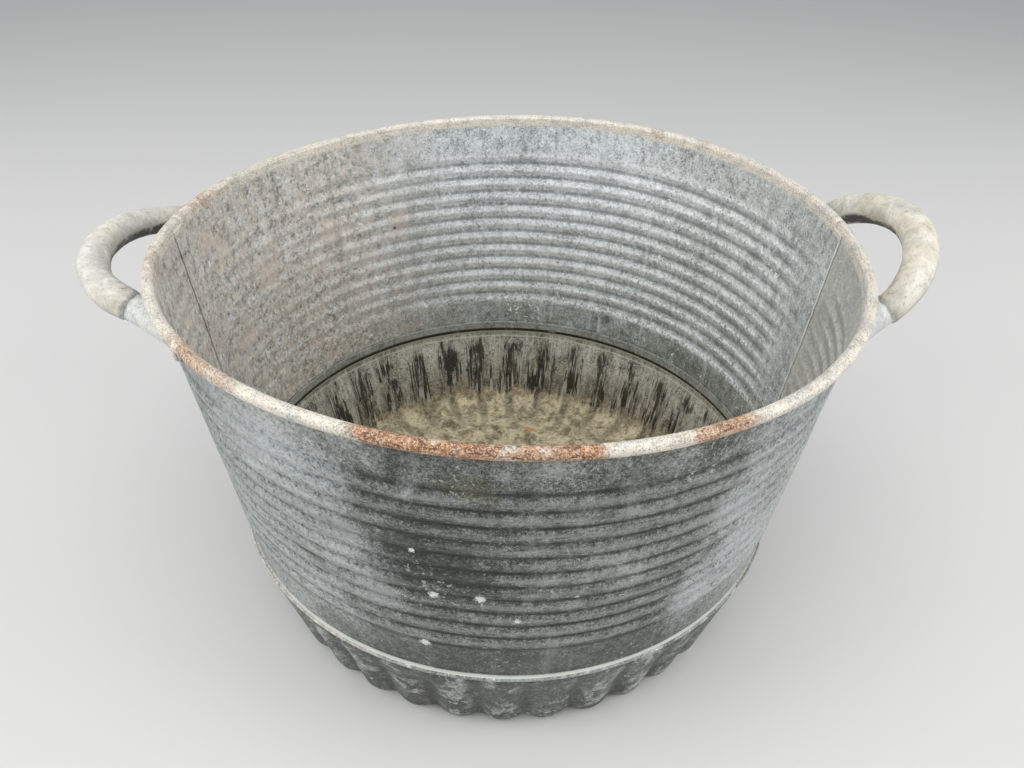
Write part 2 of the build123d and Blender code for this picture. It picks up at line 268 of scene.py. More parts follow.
# %% [markdown]
# ## Building materials from nodes
#
# A few short helpers keep the node trees readable. Each one adds a node and returns its output, so a
# finish reads from the inside out, like a recipe. All patterns use Object coordinates, which stay with
# the piece from every side.

# %% Node helpers
def add_node(tree, kind, inputs=None, **settings):
    """Adds a node, sets its options, and links or sets its inputs."""
    node = tree.nodes.new(kind)
    for key, value in settings.items():
        setattr(node, key, value)
    for key, value in (inputs or {}).items():
        if isinstance(value, bpy.types.NodeSocket):
            tree.links.new(value, node.inputs[key])
        else:
            node.inputs[key].default_value = value
    return node


def maths(tree, operation, first, second=0.0, clamp=False):
    """One sum."""
    return add_node(
        tree, "ShaderNodeMath", {0: first, 1: second}, operation=operation, use_clamp=clamp
    ).outputs[0]


def clouds(tree, vector, scale, detail=4.0, rough=0.6, bend=0.0):
    """Soft noise from 0 to 1."""
    return add_node(
        tree,
        "ShaderNodeTexNoise",
        {"Vector": vector, "Scale": scale, "Detail": detail, "Roughness": rough, "Distortion": bend},
    ).outputs["Fac"]


def between(tree, value, low, high):
    """A smooth step: 0 below low, 1 above high. Low may be the larger one."""
    return add_node(
        tree,
        "ShaderNodeMapRange",
        {"Value": value, "From Min": low, "From Max": high},
        interpolation_type="SMOOTHSTEP",
    ).outputs["Result"]


def blend(tree, share, first, second, how="MIX"):
    """Mixes two colours."""
    node = tree.nodes.new("ShaderNodeMix")
    node.data_type = "RGBA"
    node.blend_type = how
    sockets = {"Factor_Float": share, "A_Color": first, "B_Color": second}
    for socket in node.inputs:
        if socket.identifier in sockets:
            value = sockets[socket.identifier]
            if isinstance(value, bpy.types.NodeSocket):
                tree.links.new(value, socket)
            else:
                socket.default_value = value
    return next(s for s in node.outputs if s.identifier == "Result_Color")


def stretched(tree, vector, scale):
    """Coordinates scaled by axis, so that a pattern on them becomes streaks."""
    return add_node(tree, "ShaderNodeMapping", {"Vector": vector, "Scale": scale}).outputs[0]


def round_tub(tree, place, squeeze):
    """Coordinates on one drum: a place is moved in or out to the same radius, and its height is squeezed."""
    xyz = add_node(tree, "ShaderNodeSeparateXYZ", {"Vector": place}).outputs
    flat = add_node(tree, "ShaderNodeCombineXYZ", {"X": xyz["X"], "Y": xyz["Y"]}).outputs[0]
    ray = add_node(tree, "ShaderNodeVectorMath", {0: flat}, operation="NORMALIZE").outputs[0]
    drum = add_node(tree, "ShaderNodeVectorMath", {0: ray, "Scale": 0.25}, operation="SCALE").outputs[0]
    parts = add_node(tree, "ShaderNodeSeparateXYZ", {"Vector": drum}).outputs
    height = maths(tree, "MULTIPLY", xyz["Z"], squeeze)
    return add_node(tree, "ShaderNodeCombineXYZ", {"X": parts["X"], "Y": parts["Y"], "Z": height}).outputs[0]


def share_of(tree, *masks):
    """Masks and numbers multiplied together."""
    product = masks[0]
    for mask in masks[1:]:
        product = maths(tree, "MULTIPLY", product, mask)
    return product


def tint(red, green, blue):
    """A colour from its display values, 0 to 255, in the linear values that shaders use."""
    linear = []
    for value in (red, green, blue):
        share = value / 255
        linear.append(share / 12.92 if share <= 0.04045 else ((share + 0.055) / 1.055) ** 2.4)
    return (*linear, 1.0)


# %% [markdown]
# ### Shared effects
#
# Three effects turn up on every zinc surface, so each is a node group. *Old zinc* is the grey skin
# itself, from dark to light. *Flecks* are the small chalky spots that zinc grows. *Runs* are the streaks
# that water leaves on its way down.

# %% A helper for node groups
def new_group(name, inputs, outputs):
    """An empty node group with named sockets, and its input and output nodes."""
    tree = bpy.data.node_groups.new(name, "ShaderNodeTree")
    for title, kind, default in inputs:
        socket = tree.interface.new_socket(title, in_out="INPUT", socket_type="NodeSocket" + kind)
        if default is not None:
            socket.default_value = default
    for title, kind in outputs:
        tree.interface.new_socket(title, in_out="OUTPUT", socket_type="NodeSocket" + kind)
    return tree, tree.nodes.new("NodeGroupInput").outputs, tree.nodes.new("NodeGroupOutput").inputs


def use_group(tree, group, inputs):
    """Places a node group in a material and returns its outputs."""
    node = tree.nodes.new("ShaderNodeGroup")
    node.node_tree = group
    for key, value in inputs.items():
        if isinstance(value, bpy.types.NodeSocket):
            tree.links.new(value, node.inputs[key])
        else:
            node.inputs[key].default_value = value
    return node.outputs


# %% Old zinc: the grey skin
def make_old_zinc():
    """Grey mottling at five sizes, from a hand's breadth to a grain, with its roughness and relief."""
    tree, given, wanted = new_group(
        "old zinc",
        [("Vector", "Vector", None), ("Dark", "Color", None), ("Middle", "Color", None),
         ("Light", "Color", None), ("Contrast", "Float", 1.0)],
        [("Color", "Color"), ("Roughness", "Float"), ("Height", "Float")],
    )
    vector = given["Vector"]
    broad = clouds(tree, vector, 9.0, 5.0, 0.62, 0.6)
    patch = clouds(tree, vector, 46.0, 6.0, 0.7, 0.4)
    small = clouds(tree, vector, 150.0, 5.0, 0.75, 0.3)
    grain = clouds(tree, vector, 460.0, 3.0, 0.8)
    dust = clouds(tree, vector, 1100.0, 2.0, 0.6)
    tone = maths(tree, "ADD", maths(tree, "MULTIPLY", broad, 0.26), maths(tree, "MULTIPLY", patch, 0.28))
    tone = maths(tree, "ADD", tone, maths(tree, "MULTIPLY", small, 0.42))
    tone = maths(tree, "ADD", tone, maths(tree, "MULTIPLY", grain, 0.50))
    tone = maths(tree, "ADD", tone, maths(tree, "MULTIPLY", dust, 0.44))
    tone = maths(tree, "SUBTRACT", tone, 0.95)
    tone = maths(tree, "MULTIPLY", tone, given["Contrast"])
    tone = maths(tree, "ADD", tone, 0.5, clamp=True)
    low = blend(tree, between(tree, tone, 0.28, 0.5), given["Dark"], given["Middle"])
    tree.links.new(blend(tree, between(tree, tone, 0.5, 0.72), low, given["Light"]), wanted["Color"])
    rough = maths(tree, "ADD", maths(tree, "MULTIPLY", patch, 0.30), 0.38)
    tree.links.new(rough, wanted["Roughness"])
    height = maths(tree, "ADD", maths(tree, "MULTIPLY", patch, 0.5), maths(tree, "MULTIPLY", grain, 0.5))
    tree.links.new(height, wanted["Height"])
    return tree


OLD_ZINC = make_old_zinc()


# %% Flecks: small chalky spots
def make_flecks():
    """Irregular spots in drifts: only the tops of a fine noise show, and only where a broad noise is high."""
    tree, given, wanted = new_group(
        "flecks",
        [("Vector", "Vector", None), ("Scale", "Float", 100.0), ("Amount", "Float", 0.5)],
        [("Mask", "Float")],
    )
    vector = given["Vector"]
    fine = clouds(tree, vector, given["Scale"], 5.0, 0.62, 0.4)
    drift = clouds(tree, vector, 17.0, 4.0, 0.65)
    both = maths(tree, "ADD", fine, maths(tree, "MULTIPLY", drift, 0.5))
    both = maths(tree, "ADD", both, maths(tree, "MULTIPLY", given["Amount"], 0.2))
    tree.links.new(between(tree, both, 1.02, 1.06), wanted["Mask"])
    return tree


FLECKS = make_flecks()


# %% Runs: streaks left by water
def make_runs():
    """Upright streaks: noise on coordinates squeezed along Z, broken up by a second noise."""
    tree, given, wanted = new_group(
        "runs",
        [("Vector", "Vector", None), ("Scale", "Float", 60.0), ("Amount", "Float", 0.5)],
        [("Mask", "Float")],
    )
    streak = clouds(tree, round_tub(tree, given["Vector"], 0.07), given["Scale"], 3.0, 0.55)
    broken = clouds(tree, given["Vector"], 30.0, 4.0, 0.6)
    both = maths(tree, "ADD", maths(tree, "MULTIPLY", streak, 0.72), maths(tree, "MULTIPLY", broken, 0.28))
    mask = between(tree, maths(tree, "ADD", both, given["Amount"]), 1.0, 1.18)
    tree.links.new(mask, wanted["Mask"])
    return tree


RUNS = make_runs()


# %% Blotches: single marks at known places
def make_blotch():
    """One mark with a torn edge. The noise is scaled by the mark's radius, so all sizes look alike."""
    tree, given, wanted = new_group(
        "blotch",
        [("Vector", "Vector", None), ("Centre", "Vector", None), ("Radius", "Float", 0.01), ("Grain", "Float", 0.0)],
        [("Mask", "Float")],
    )
    away = add_node(tree, "ShaderNodeVectorMath", {0: given["Vector"], 1: given["Centre"]}, operation="DISTANCE")
    share = maths(tree, "DIVIDE", away.outputs["Value"], given["Radius"])
    finer = maths(tree, "DIVIDE", 1.6, given["Radius"])
    scaled = add_node(tree, "ShaderNodeVectorMath", {0: given["Vector"], "Scale": finer}, operation="SCALE")
    torn = maths(tree, "SUBTRACT", clouds(tree, scaled.outputs[0], 1.3, 8.0, 0.85, 0.5), 0.5)
    tearing = maths(tree, "ADD", maths(tree, "MULTIPLY", given["Grain"], 0.5), 2.6)
    share = maths(tree, "ADD", share, maths(tree, "MULTIPLY", torn, tearing))
    grain = maths(tree, "SUBTRACT", clouds(tree, given["Vector"], 420.0, 4.0, 0.8), 0.5)
    share = maths(tree, "ADD", share, maths(tree, "MULTIPLY", grain, given["Grain"]))
    tree.links.new(between(tree, share, 1.0, 0.7), wanted["Mask"])
    return tree


BLOTCH = make_blotch()


def add_blotches(tree, place, colour, strength, mark_colour, spots):
    """Puts several blotches of one colour on a surface. A spot is x, y, z and radius, in millimetres."""
    for x, y, z, radius in spots:
        mask = use_group(tree, BLOTCH, {
            "Vector": place, "Centre": (x * MM, y * MM, z * MM), "Radius": radius * MM,
            "Grain": min(radius / 2, 5.0)})["Mask"]
        colour = blend(tree, maths(tree, "MULTIPLY", mask, strength), colour, mark_colour)
    return colour


print("groups:", ", ".join(g.name for g in bpy.data.node_groups))


# %% [markdown]
# ### A start for every material
#
# Each finish starts from a Principled shader with the numbers that are the same all over. What changes
# over the surface comes in by links: colour, roughness and relief.

# %% Material start and end
def new_material(name, metal=0.0):
    """A material with one Principled shader, and its Object coordinates."""
    material = bpy.data.materials.new(name)
    material.use_nodes = True
    tree = material.node_tree
    shader = next(n for n in tree.nodes if n.type == "BSDF_PRINCIPLED")
    shader.inputs["Metallic"].default_value = metal
    place = tree.nodes.new("ShaderNodeTexCoord").outputs["Object"]
    return material, tree, shader, place


def read_mark(tree, name):
    """A value that was marked on the vertices."""
    return add_node(tree, "ShaderNodeAttribute", attribute_name=name).outputs["Fac"]


def end_material(tree, shader, colour, rough, height, strength, distance):
    """Links colour, roughness and relief to the shader."""
    tree.links.new(colour, shader.inputs["Base Color"])
    tree.links.new(rough, shader.inputs["Roughness"])
    bump = add_node(tree, "ShaderNodeBump", {"Strength": strength, "Distance": distance, "Height": height})
    tree.links.new(bump.outputs["Normal"], shader.inputs["Normal"])


def axis_of(tree, place, name):
    """One coordinate of a place."""
    return add_node(tree, "ShaderNodeSeparateXYZ", {"Vector": place}).outputs[name]


# %% [markdown]
# ### The rim's rust
#
# The rolled rim is chalky cream where it is whole, and orange where years of lifting and scraping have
# worn the zinc away. The rust comes in stretches, so its place round the rim is a colour ramp that is
# read by angle, and noise tears its ends.

# %% Rust by angle
# Angle in degrees from +X, and how rusty the rim is there
RUST_ROUND_RIM = (
    (-180, 0.42), (-165, 0.60), (-150, 0.35), (-137, 0.72), (-128, 0.66), (-121, 0.22), (-113, 0.30),
    (-108, 0.85), (-96, 0.90), (-91, 0.76), (-86, 0.82), (-83, 0.95), (-79, 0.30), (-73, 0.28), (-70, 0.75),
    (-64, 0.80), (-59, 0.32), (-40, 0.45), (-20, 0.40), (0, 0.38), (25, 0.25), (50, 0.55), (68, 0.42),
    (90, 0.20), (120, 0.25), (150, 0.40), (172, 0.66), (180, 0.42),
)


def make_rim_colours():
    """The rim's cream and rust, and how much it covers, from a place and its mark."""
    tree, given, wanted = new_group(
        "rim patina",
        [("Vector", "Vector", None), ("Base", "Color", None), ("Rim", "Float", 0.0), ("Start", "Float", 0.3),
         ("Under", "Float", 0.0)],
        [("Color", "Color"), ("Height", "Float")],
    )
    vector = given["Vector"]
    xyz = add_node(tree, "ShaderNodeSeparateXYZ", {"Vector": vector}).outputs
    angle = maths(tree, "ARCTAN2", xyz["Y"], xyz["X"])
    share = maths(tree, "ADD", maths(tree, "DIVIDE", angle, tau), 0.5)
    ramp = tree.nodes.new("ShaderNodeValToRGB")
    tree.links.new(share, ramp.inputs["Fac"])
    stops = ramp.color_ramp.elements
    for index, (turn, rust) in enumerate(RUST_ROUND_RIM):
        spot = (turn + 180) / 360
        stop = stops[index] if index < 2 else stops.new(spot)
        stop.position = spot
        stop.color = (rust, rust, rust, 1.0)
    tear = clouds(tree, vector, 70.0, 6.0, 0.72, 0.5)
    grain = clouds(tree, vector, 380.0, 4.0, 0.7)
    specks = clouds(tree, vector, 860.0, 3.0, 0.75)
    across = maths(tree, "ADD", maths(tree, "SQRT", maths(tree, "ADD", share_of(tree, xyz["X"], xyz["X"]),
                   share_of(tree, xyz["Y"], xyz["Y"]))), xyz["Z"])
    lie = add_node(tree, "ShaderNodeCombineXYZ", {
        "X": share_of(tree, xyz["X"], 0.14), "Y": share_of(tree, xyz["Y"], 0.14), "Z": across}).outputs[0]
    scrape = clouds(tree, lie, 420.0, 4.0, 0.7, 0.3)
    rusty = maths(tree, "ADD", ramp.outputs["Color"], maths(tree, "MULTIPLY", tear, 1.1))
    rusty = maths(tree, "ADD", rusty, maths(tree, "MULTIPLY", grain, 0.5))
    rust_mask = between(tree, rusty, 1.30, 1.62)
    orange = blend(tree, between(tree, scrape, 0.40, 0.56), tint(118, 74, 48), tint(184, 136, 98))
    orange = blend(tree, share_of(tree, between(tree, tear, 0.50, 0.60), 0.8), orange, tint(222, 200, 174))
    orange = blend(tree, share_of(tree, between(tree, tear, 0.44, 0.36), 0.7), orange, tint(112, 72, 50))
    orange = blend(tree, share_of(tree, between(tree, specks, 0.53, 0.60), 0.75), orange, tint(234, 206, 178))
    orange = blend(tree, share_of(tree, between(tree, specks, 0.47, 0.40), 0.7), orange, tint(78, 50, 34))
    cream = blend(tree, between(tree, scrape, 0.34, 0.52), tint(194, 184, 168), tint(226, 218, 202))
    cream = blend(tree, share_of(tree, between(tree, tear, 0.50, 0.60), 0.7), cream, tint(186, 188, 184))
    cream = blend(tree, share_of(tree, between(tree, tear, 0.45, 0.36), 0.7), cream, tint(238, 232, 221))
    cream = blend(tree, share_of(tree, between(tree, specks, 0.53, 0.60), 0.6), cream, tint(242, 238, 230))
    cream = blend(tree, share_of(tree, between(tree, specks, 0.45, 0.38), 0.7), cream, tint(112, 100, 84))
    patina = blend(tree, rust_mask, cream, orange)
    # Dirt and painted shade on the bottom of the roll, where the Under mark is high
    under = maths(tree, "ADD", given["Under"], maths(tree, "MULTIPLY", maths(tree, "SUBTRACT", grain, 0.5), 0.8))
    under = share_of(tree, between(tree, under, 0.55, 0.95), maths(tree, "ADD", share_of(tree, rust_mask, 0.5), 0.3))
    patina = blend(tree, under, patina, tint(62, 44, 32))
    edge = maths(tree, "ADD", given["Rim"], maths(tree, "MULTIPLY", maths(tree, "SUBTRACT", tear, 0.5), 0.7))
    cover = between(tree, maths(tree, "SUBTRACT", edge, given["Start"]), 0.0, 0.3)
    tree.links.new(blend(tree, cover, given["Base"], patina), wanted["Color"])
    relief = maths(tree, "MULTIPLY", maths(tree, "MULTIPLY", rust_mask, cover), grain)
    tree.links.new(relief, wanted["Height"])
    return tree


RIM_PATINA = make_rim_colours()


# %% [markdown]
# ### The wall, outside
#
# Outside, the zinc is a dark blue grey. Dirt and painted shade sit in the grooves between the ribs, the crests
# are rubbed lighter and carry a painted highlight, and a few white flecks have grown. A painted sheen lightens
# the sides and painted shade darkens the front low down. The hem at the bottom edge is rubbed nearly white,
# with a painted highlight that is brightest at the front.

# %% Wall finish, outside
def make_wall_outside():
    """Dark old zinc: dirt and painted shade in the grooves, wear and a painted highlight on the crests, a painted
    sheen on the sides, painted shade low on the front, and stray flecks.
    """
    material, tree, shader, place = new_material("zinc_outside", 0.3)
    rib = read_mark(tree, "rib")
    hem = read_mark(tree, "hem")
    xyz = add_node(tree, "ShaderNodeSeparateXYZ", {"Vector": place}).outputs
    zinc = use_group(tree, OLD_ZINC, {
        "Vector": place, "Dark": tint(48, 50, 45), "Middle": tint(104, 106, 101),
        "Light": tint(156, 159, 152), "Contrast": 2.1})
    patch = clouds(tree, place, 55.0, 5.0, 0.7)
    grain = clouds(tree, place, 330.0, 4.0, 0.78)
    cloudy = clouds(tree, place, 14.0, 5.0, 0.7, 0.5)
    brushed = clouds(tree, round_tub(tree, place, 6.0), 42.0, 5.0, 0.75)
    # Dirt and painted shade darken the grooves, and a painted shadow line runs along their bottoms
    groove = share_of(tree, between(tree, rib, 0.48, 0.06), between(tree, brushed, 0.28, 0.50), 0.82)
    colour = blend(tree, groove, zinc["Color"], tint(38, 40, 36))
    line = share_of(tree, between(tree, rib, 0.14, 0.02), between(tree, brushed, 0.46, 0.56), 0.7)
    colour = blend(tree, line, colour, tint(20, 22, 20))
    # Wear and a painted highlight lighten the crests
    crest_wear_and_highlight = share_of(tree, between(tree, rib, 0.55, 1.0), between(tree, brushed, 0.36, 0.58), 0.46)
    colour = blend(tree, crest_wear_and_highlight, colour, tint(164, 168, 163))
    # Painted sheen: the bloom is made stronger towards the left and right sides of the front, and a little more on
    # the right, as light falls there
    sides = between(tree, maths(tree, "ABSOLUTE", maths(tree, "ADD", xyz["X"], -0.02)), 0.04, 0.21)
    bloom = maths(tree, "ADD", cloudy, maths(tree, "MULTIPLY", sides, 0.29))
    bloom = maths(tree, "ADD", bloom, maths(tree, "MULTIPLY", between(tree, xyz["X"], 0.05, 0.17), 0.09))
    bloom = share_of(tree, between(tree, bloom, 0.54, 0.80), between(tree, grain, 0.34, 0.60))
    colour = blend(tree, bloom, colour, tint(150, 157, 159), "SCREEN")
    # Painted shade: darker low on the middle of the front
    foot = share_of(tree, between(tree, xyz["Z"], 0.145, 0.125), between(tree, sides, 1.2, 0.0), 0.55)
    colour = blend(tree, foot, colour, tint(74, 76, 70))
    runs = use_group(tree, RUNS, {"Vector": place, "Scale": 110.0, "Amount": 0.47})
    colour = blend(tree, share_of(tree, runs["Mask"], grain, 0.4), colour, tint(184, 190, 190))
    dark_runs = use_group(tree, RUNS, {
        "Vector": stretched(tree, place, (1.3, 1.3, 1.3)), "Scale": 60.0, "Amount": 0.45})
    colour = blend(tree, share_of(tree, dark_runs["Mask"], 0.35), colour, tint(62, 64, 60))
    colour = add_blotches(tree, place, colour, 0.5, tint(34, 37, 34), (
        (-52, -267, 245, 40), (-78, -262, 255, 26), (-36, -268, 222, 26), (-70, -258, 222, 26)))
    colour = add_blotches(tree, place, colour, 0.34, tint(202, 207, 208), (
        (-175, -214, 306, 36), (-150, -232, 322, 24), (135, -222, 150, 30), (190, -190, 175, 40),
        (20, -282, 335, 9), (-12, -282, 330, 6), (-118, -243, 250, 20), (-96, -247, 190, 18),
        (150, -226, 250, 26), (165, -214, 210, 24)))
    colour = add_blotches(tree, place, colour, 0.25, tint(104, 98, 62), ((-34, -280, 322, 14), (-22, -279, 312, 9)))
    small = use_group(tree, FLECKS, {"Vector": place, "Scale": 260.0, "Amount": 0.60})
    colour = blend(tree, share_of(tree, small["Mask"], 0.5), colour, tint(204, 208, 206))
    large = use_group(tree, FLECKS, {"Vector": place, "Scale": 120.0, "Amount": 0.30})
    colour = blend(tree, share_of(tree, large["Mask"], 0.6), colour, tint(222, 224, 220))
    colour = add_blotches(tree, place, colour, 0.95, tint(228, 230, 226), (
        (-58, -259, 202, 3.6), (-26, -264, 203, 4.0), (0, -263, 179, 3.0), (-67, -249, 137, 4.2),
        (-12, -272, 291, 2.4), (10, -277, 308, 2.0), (40, -262, 205, 2.4), (-70, -262, 250, 2.2)))
    colour = add_blotches(tree, place, colour, 0.85, tint(40, 36, 30), (
        (184, -208, 315, 2.4), (174, -217, 321, 2.6), (165, -226, 333, 2.2), (-196, -198, 262, 2.6)))
    # The hem's roll is rubbed nearly white, and a painted highlight makes it brightest towards the front
    front = between(tree, maths(tree, "ABSOLUTE", xyz["X"]), 0.24, 0.10)
    white = between(tree, maths(tree, "ADD", hem, maths(tree, "MULTIPLY", patch, 0.35)), 0.5, 0.9)
    worn = maths(tree, "ADD", grain, maths(tree, "MULTIPLY", front, 0.16))
    worn = blend(tree, between(tree, worn, 0.34, 0.52), tint(140, 142, 138), tint(244, 244, 240))
    colour = blend(tree, white, colour, worn)
    # Dirt and painted shadow on the wall just below the rim's roll
    under_rim_dirt_and_shade = share_of(tree, between(tree, read_mark(tree, "rim"), 0.45, 0.76), between(tree, patch, 0.26, 0.46), 0.8)
    colour = blend(tree, under_rim_dirt_and_shade, colour, tint(42, 35, 29))
    rim = use_group(tree, RIM_PATINA, {
        "Vector": place, "Base": colour, "Rim": read_mark(tree, "rim"), "Start": 0.80,
        "Under": read_mark(tree, "under_rim")})
    height = maths(tree, "ADD", zinc["Height"], maths(tree, "MULTIPLY", rim["Height"], 1.6))
    height = maths(tree, "ADD", height, maths(tree, "MULTIPLY", large["Mask"], 0.7))
    end_material(tree, shader, rim["Color"], zinc["Roughness"], height, 0.6, 0.0007)
    return material


WALL_OUTSIDE = make_wall_outside()


# %% [markdown]
# ### The wall, inside
#
# Inside, standing water has left far more bloom. It is thick on the inward crests, which are the
# outside's grooves, and lies in grains. The left side is stained brown and pink, and below the ribs the
# sheet is plain and darker.

# %% Wall finish, inside
def make_wall_inside():
    """Pale chalky zinc with bloom on the inward crests, dirt and painted shade between them, painted shade at the far
    right, stains, runs, and side seams with dirt, painted shade, a painted highlight and a painted shadow.
    """
    material, tree, shader, place = new_material("zinc_inside", 0.15)
    rib = read_mark(tree, "rib")
    xyz = add_node(tree, "ShaderNodeSeparateXYZ", {"Vector": place}).outputs
    zinc = use_group(tree, OLD_ZINC, {
        "Vector": place, "Dark": tint(132, 137, 137), "Middle": tint(202, 208, 209),
        "Light": tint(240, 244, 245), "Contrast": 2.0})
    patch = clouds(tree, place, 60.0, 6.0, 0.74)
    grain = clouds(tree, place, 250.0, 5.0, 0.82)
    cloudy = clouds(tree, place, 24.0, 6.0, 0.75, 0.5)
    mottle = clouds(tree, place, 110.0, 6.0, 0.85, 0.2)
    side = between(tree, maths(tree, "ADD", xyz["X"], maths(tree, "MULTIPLY", cloudy, -0.12)), -0.10, -0.28)
    plain = between(tree, side, 1.6, 0.0)
    low = share_of(tree, between(tree, xyz["Z"], 0.165, 0.118), between(tree, patch, 0.20, 0.56), 0.95)
    colour = blend(tree, low, zinc["Color"], tint(178, 178, 170), "MULTIPLY")
    # Painted shade towards the far right
    far = share_of(tree, between(tree, xyz["X"], 0.10, 0.26), between(tree, patch, 0.2, 0.6), 0.7)
    colour = blend(tree, far, colour, tint(205, 205, 196), "MULTIPLY")
    # Dirt and painted shade darken the hollows between the inward crests
    hollow_dirt_and_shade = share_of(tree, between(tree, rib, 0.80, 1.0), between(tree, patch, 0.28, 0.52), plain, 0.7)
    colour = blend(tree, hollow_dirt_and_shade, colour, tint(112, 119, 120))
    crest = share_of(tree, read_mark(tree, "crest"), plain, between(tree, grain, 0.44, 0.54))
    right = maths(tree, "MULTIPLY", between(tree, xyz["X"], -0.12, 0.12), 0.22)
    crest = maths(tree, "MULTIPLY", crest, between(tree, maths(tree, "ADD", patch, right), 0.42, 0.64))
    colour = blend(tree, crest, colour, tint(250, 252, 253))
    flaking = maths(tree, "ADD", mottle, maths(tree, "MULTIPLY", right, 0.28))
    chalk = share_of(tree, between(tree, rib, 0.40, 0.14), between(tree, xyz["Z"], 0.235, 0.185), plain,
                     between(tree, flaking, 0.56, 0.60), between(tree, grain, 0.42, 0.52))
    colour = blend(tree, chalk, colour, tint(255, 255, 255))
    stain = share_of(tree, side, between(tree, patch, 0.34, 0.56), 0.85)
    colour = blend(tree, stain, colour, tint(180, 173, 162))
    pink = share_of(tree, side, between(tree, mottle, 0.51, 0.59), 0.75)
    colour = blend(tree, pink, colour, tint(216, 201, 188))
    shade = share_of(tree, side, between(tree, mottle, 0.48, 0.41), 0.75)
    colour = blend(tree, shade, colour, tint(100, 98, 90))
    pale = share_of(tree, side, between(tree, grain, 0.51, 0.57), 0.8)
    colour = blend(tree, pale, colour, tint(228, 221, 210))
    colour = add_blotches(tree, place, colour, 0.6, tint(212, 196, 182), (
        (-274, 38, 322, 15), (-268, 62, 300, 12), (-271, -47, 296, 13), (-262, -66, 270, 15),
        (-240, 110, 250, 16), (-246, 60, 210, 18), (-190, 190, 262, 14), (-120, 238, 250, 14)))
    runs = use_group(tree, RUNS, {"Vector": place, "Scale": 120.0, "Amount": 0.49})
    washed = share_of(tree, runs["Mask"], between(tree, grain, 0.3, 0.6), between(tree, side, 1.4, 0.0), 0.6)
    colour = blend(tree, washed, colour, tint(232, 237, 239))
    dark = use_group(tree, RUNS, {
        "Vector": stretched(tree, place, (1.2, 1.2, 1.2)), "Scale": 80.0, "Amount": 0.46})
    colour = blend(tree, share_of(tree, dark["Mask"], 0.4), colour, tint(116, 119, 114))
    spots = use_group(tree, FLECKS, {"Vector": place, "Scale": 220.0, "Amount": 0.58})
    colour = blend(tree, share_of(tree, spots["Mask"], 0.8), colour, tint(246, 248, 247))
    pits = use_group(tree, FLECKS, {
        "Vector": stretched(tree, place, (1.1, 1.1, 1.1)), "Scale": 170.0, "Amount": 0.38})
    colour = blend(tree, share_of(tree, pits["Mask"], 0.75), colour, tint(80, 80, 74))
    colour = add_blotches(tree, place, colour, 0.85, tint(52, 50, 46), ((-128, 238, 243, 2.4), (-10, 272, 300, 1.8)))
    # The tab's cut edge and what lies beside it, by angle from +X or -X: a dark line of dirt and painted shade, a
    # painted highlight on the edge, a darker band past it and a painted shadow
    turn = maths(tree, "DIVIDE", xyz["Y"], maths(tree, "ABSOLUTE", xyz["X"]))
    groove = share_of(tree, between(tree, turn, -0.0415, -0.0390), between(tree, turn, -0.0366, -0.0374))
    colour = blend(tree, share_of(tree, groove, between(tree, patch, 0.2, 0.5), 0.75), colour, tint(70, 68, 62))
    cut_edge_highlight = share_of(tree, between(tree, turn, -0.0372, -0.0366), between(tree, turn, -0.0312, -0.0322))
    cut_edge_highlight = share_of(tree, cut_edge_highlight, between(tree, xyz["X"], -0.5, 0.1), between(tree, grain, 0.30, 0.50))
    colour = blend(tree, cut_edge_highlight, colour, tint(240, 240, 236))
    dusk = share_of(tree, between(tree, turn, -0.037, -0.040), between(tree, xyz["X"], 0.20, 0.25), 0.45)
    colour = blend(tree, dusk, colour, tint(192, 187, 174))
    shadow = share_of(tree, between(tree, turn, -0.0316, -0.0308), between(tree, turn, -0.0290, -0.0302), 0.5)
    colour = blend(tree, share_of(tree, shadow, between(tree, grain, 0.34, 0.5)), colour, tint(92, 92, 88))
    rim = use_group(tree, RIM_PATINA, {
        "Vector": place, "Base": colour, "Rim": read_mark(tree, "rim"), "Start": 0.42})
    height = maths(tree, "ADD", zinc["Height"], maths(tree, "MULTIPLY", rim["Height"], 1.6))
    height = maths(tree, "ADD", height, maths(tree, "MULTIPLY", spots["Mask"], 0.6))
    height = maths(tree, "ADD", height, maths(tree, "MULTIPLY", crest, 0.5))
    end_material(tree, shader, rim["Color"], zinc["Roughness"], height, 0.7, 0.0007)
    return material


WALL_INSIDE = make_wall_inside()

# %% [markdown]
# ## The wall halves
#
# Each half is one sheet. Its section runs from the free edge of the rim roll, over the hoop, down the
# ribbed wall and round the hem. A spin gives the sheet, and a Solidify modifier its thickness, with the
# inside finish on one face and the outside finish on the other.

# %% The ribs in section
RIB_TOP = 40 * MM
RIB_COUNT = 11
RIB_PITCH = 16 * MM
RIB_DEPTH = 1.3 * MM
RIB_FULLNESS = 0.72
POINTS_PER_RIB = 12
RIBS_END = RIB_TOP + RIB_COUNT * RIB_PITCH
TAB_START = 1.5 * MM
TAB_END = WALL_LENGTH - 10 * MM - 3 * MM


def rib_lift(along):
    """How far the sheet stands out at a distance down the wall: broad crests, narrow grooves."""
    if not RIB_TOP < along < RIBS_END:
        return 0.0
    turn = (along - RIB_TOP) / RIB_PITCH % 1.0
    return RIB_DEPTH * (sin(pi * turn) ** 2) ** RIB_FULLNESS


def rib_share(angle):
    """How much of a rib's depth is left: the side seams press the ribs flat, and the left side is worn."""
    beside = 0.25 + 0.75 * smooth_step(abs(sin(angle)), 0.06, 0.24)
    return beside * (1 - 0.5 * smooth_step(-cos(angle), 0.55, 0.9) * smooth_step(sin(angle), -0.1, 0.1))


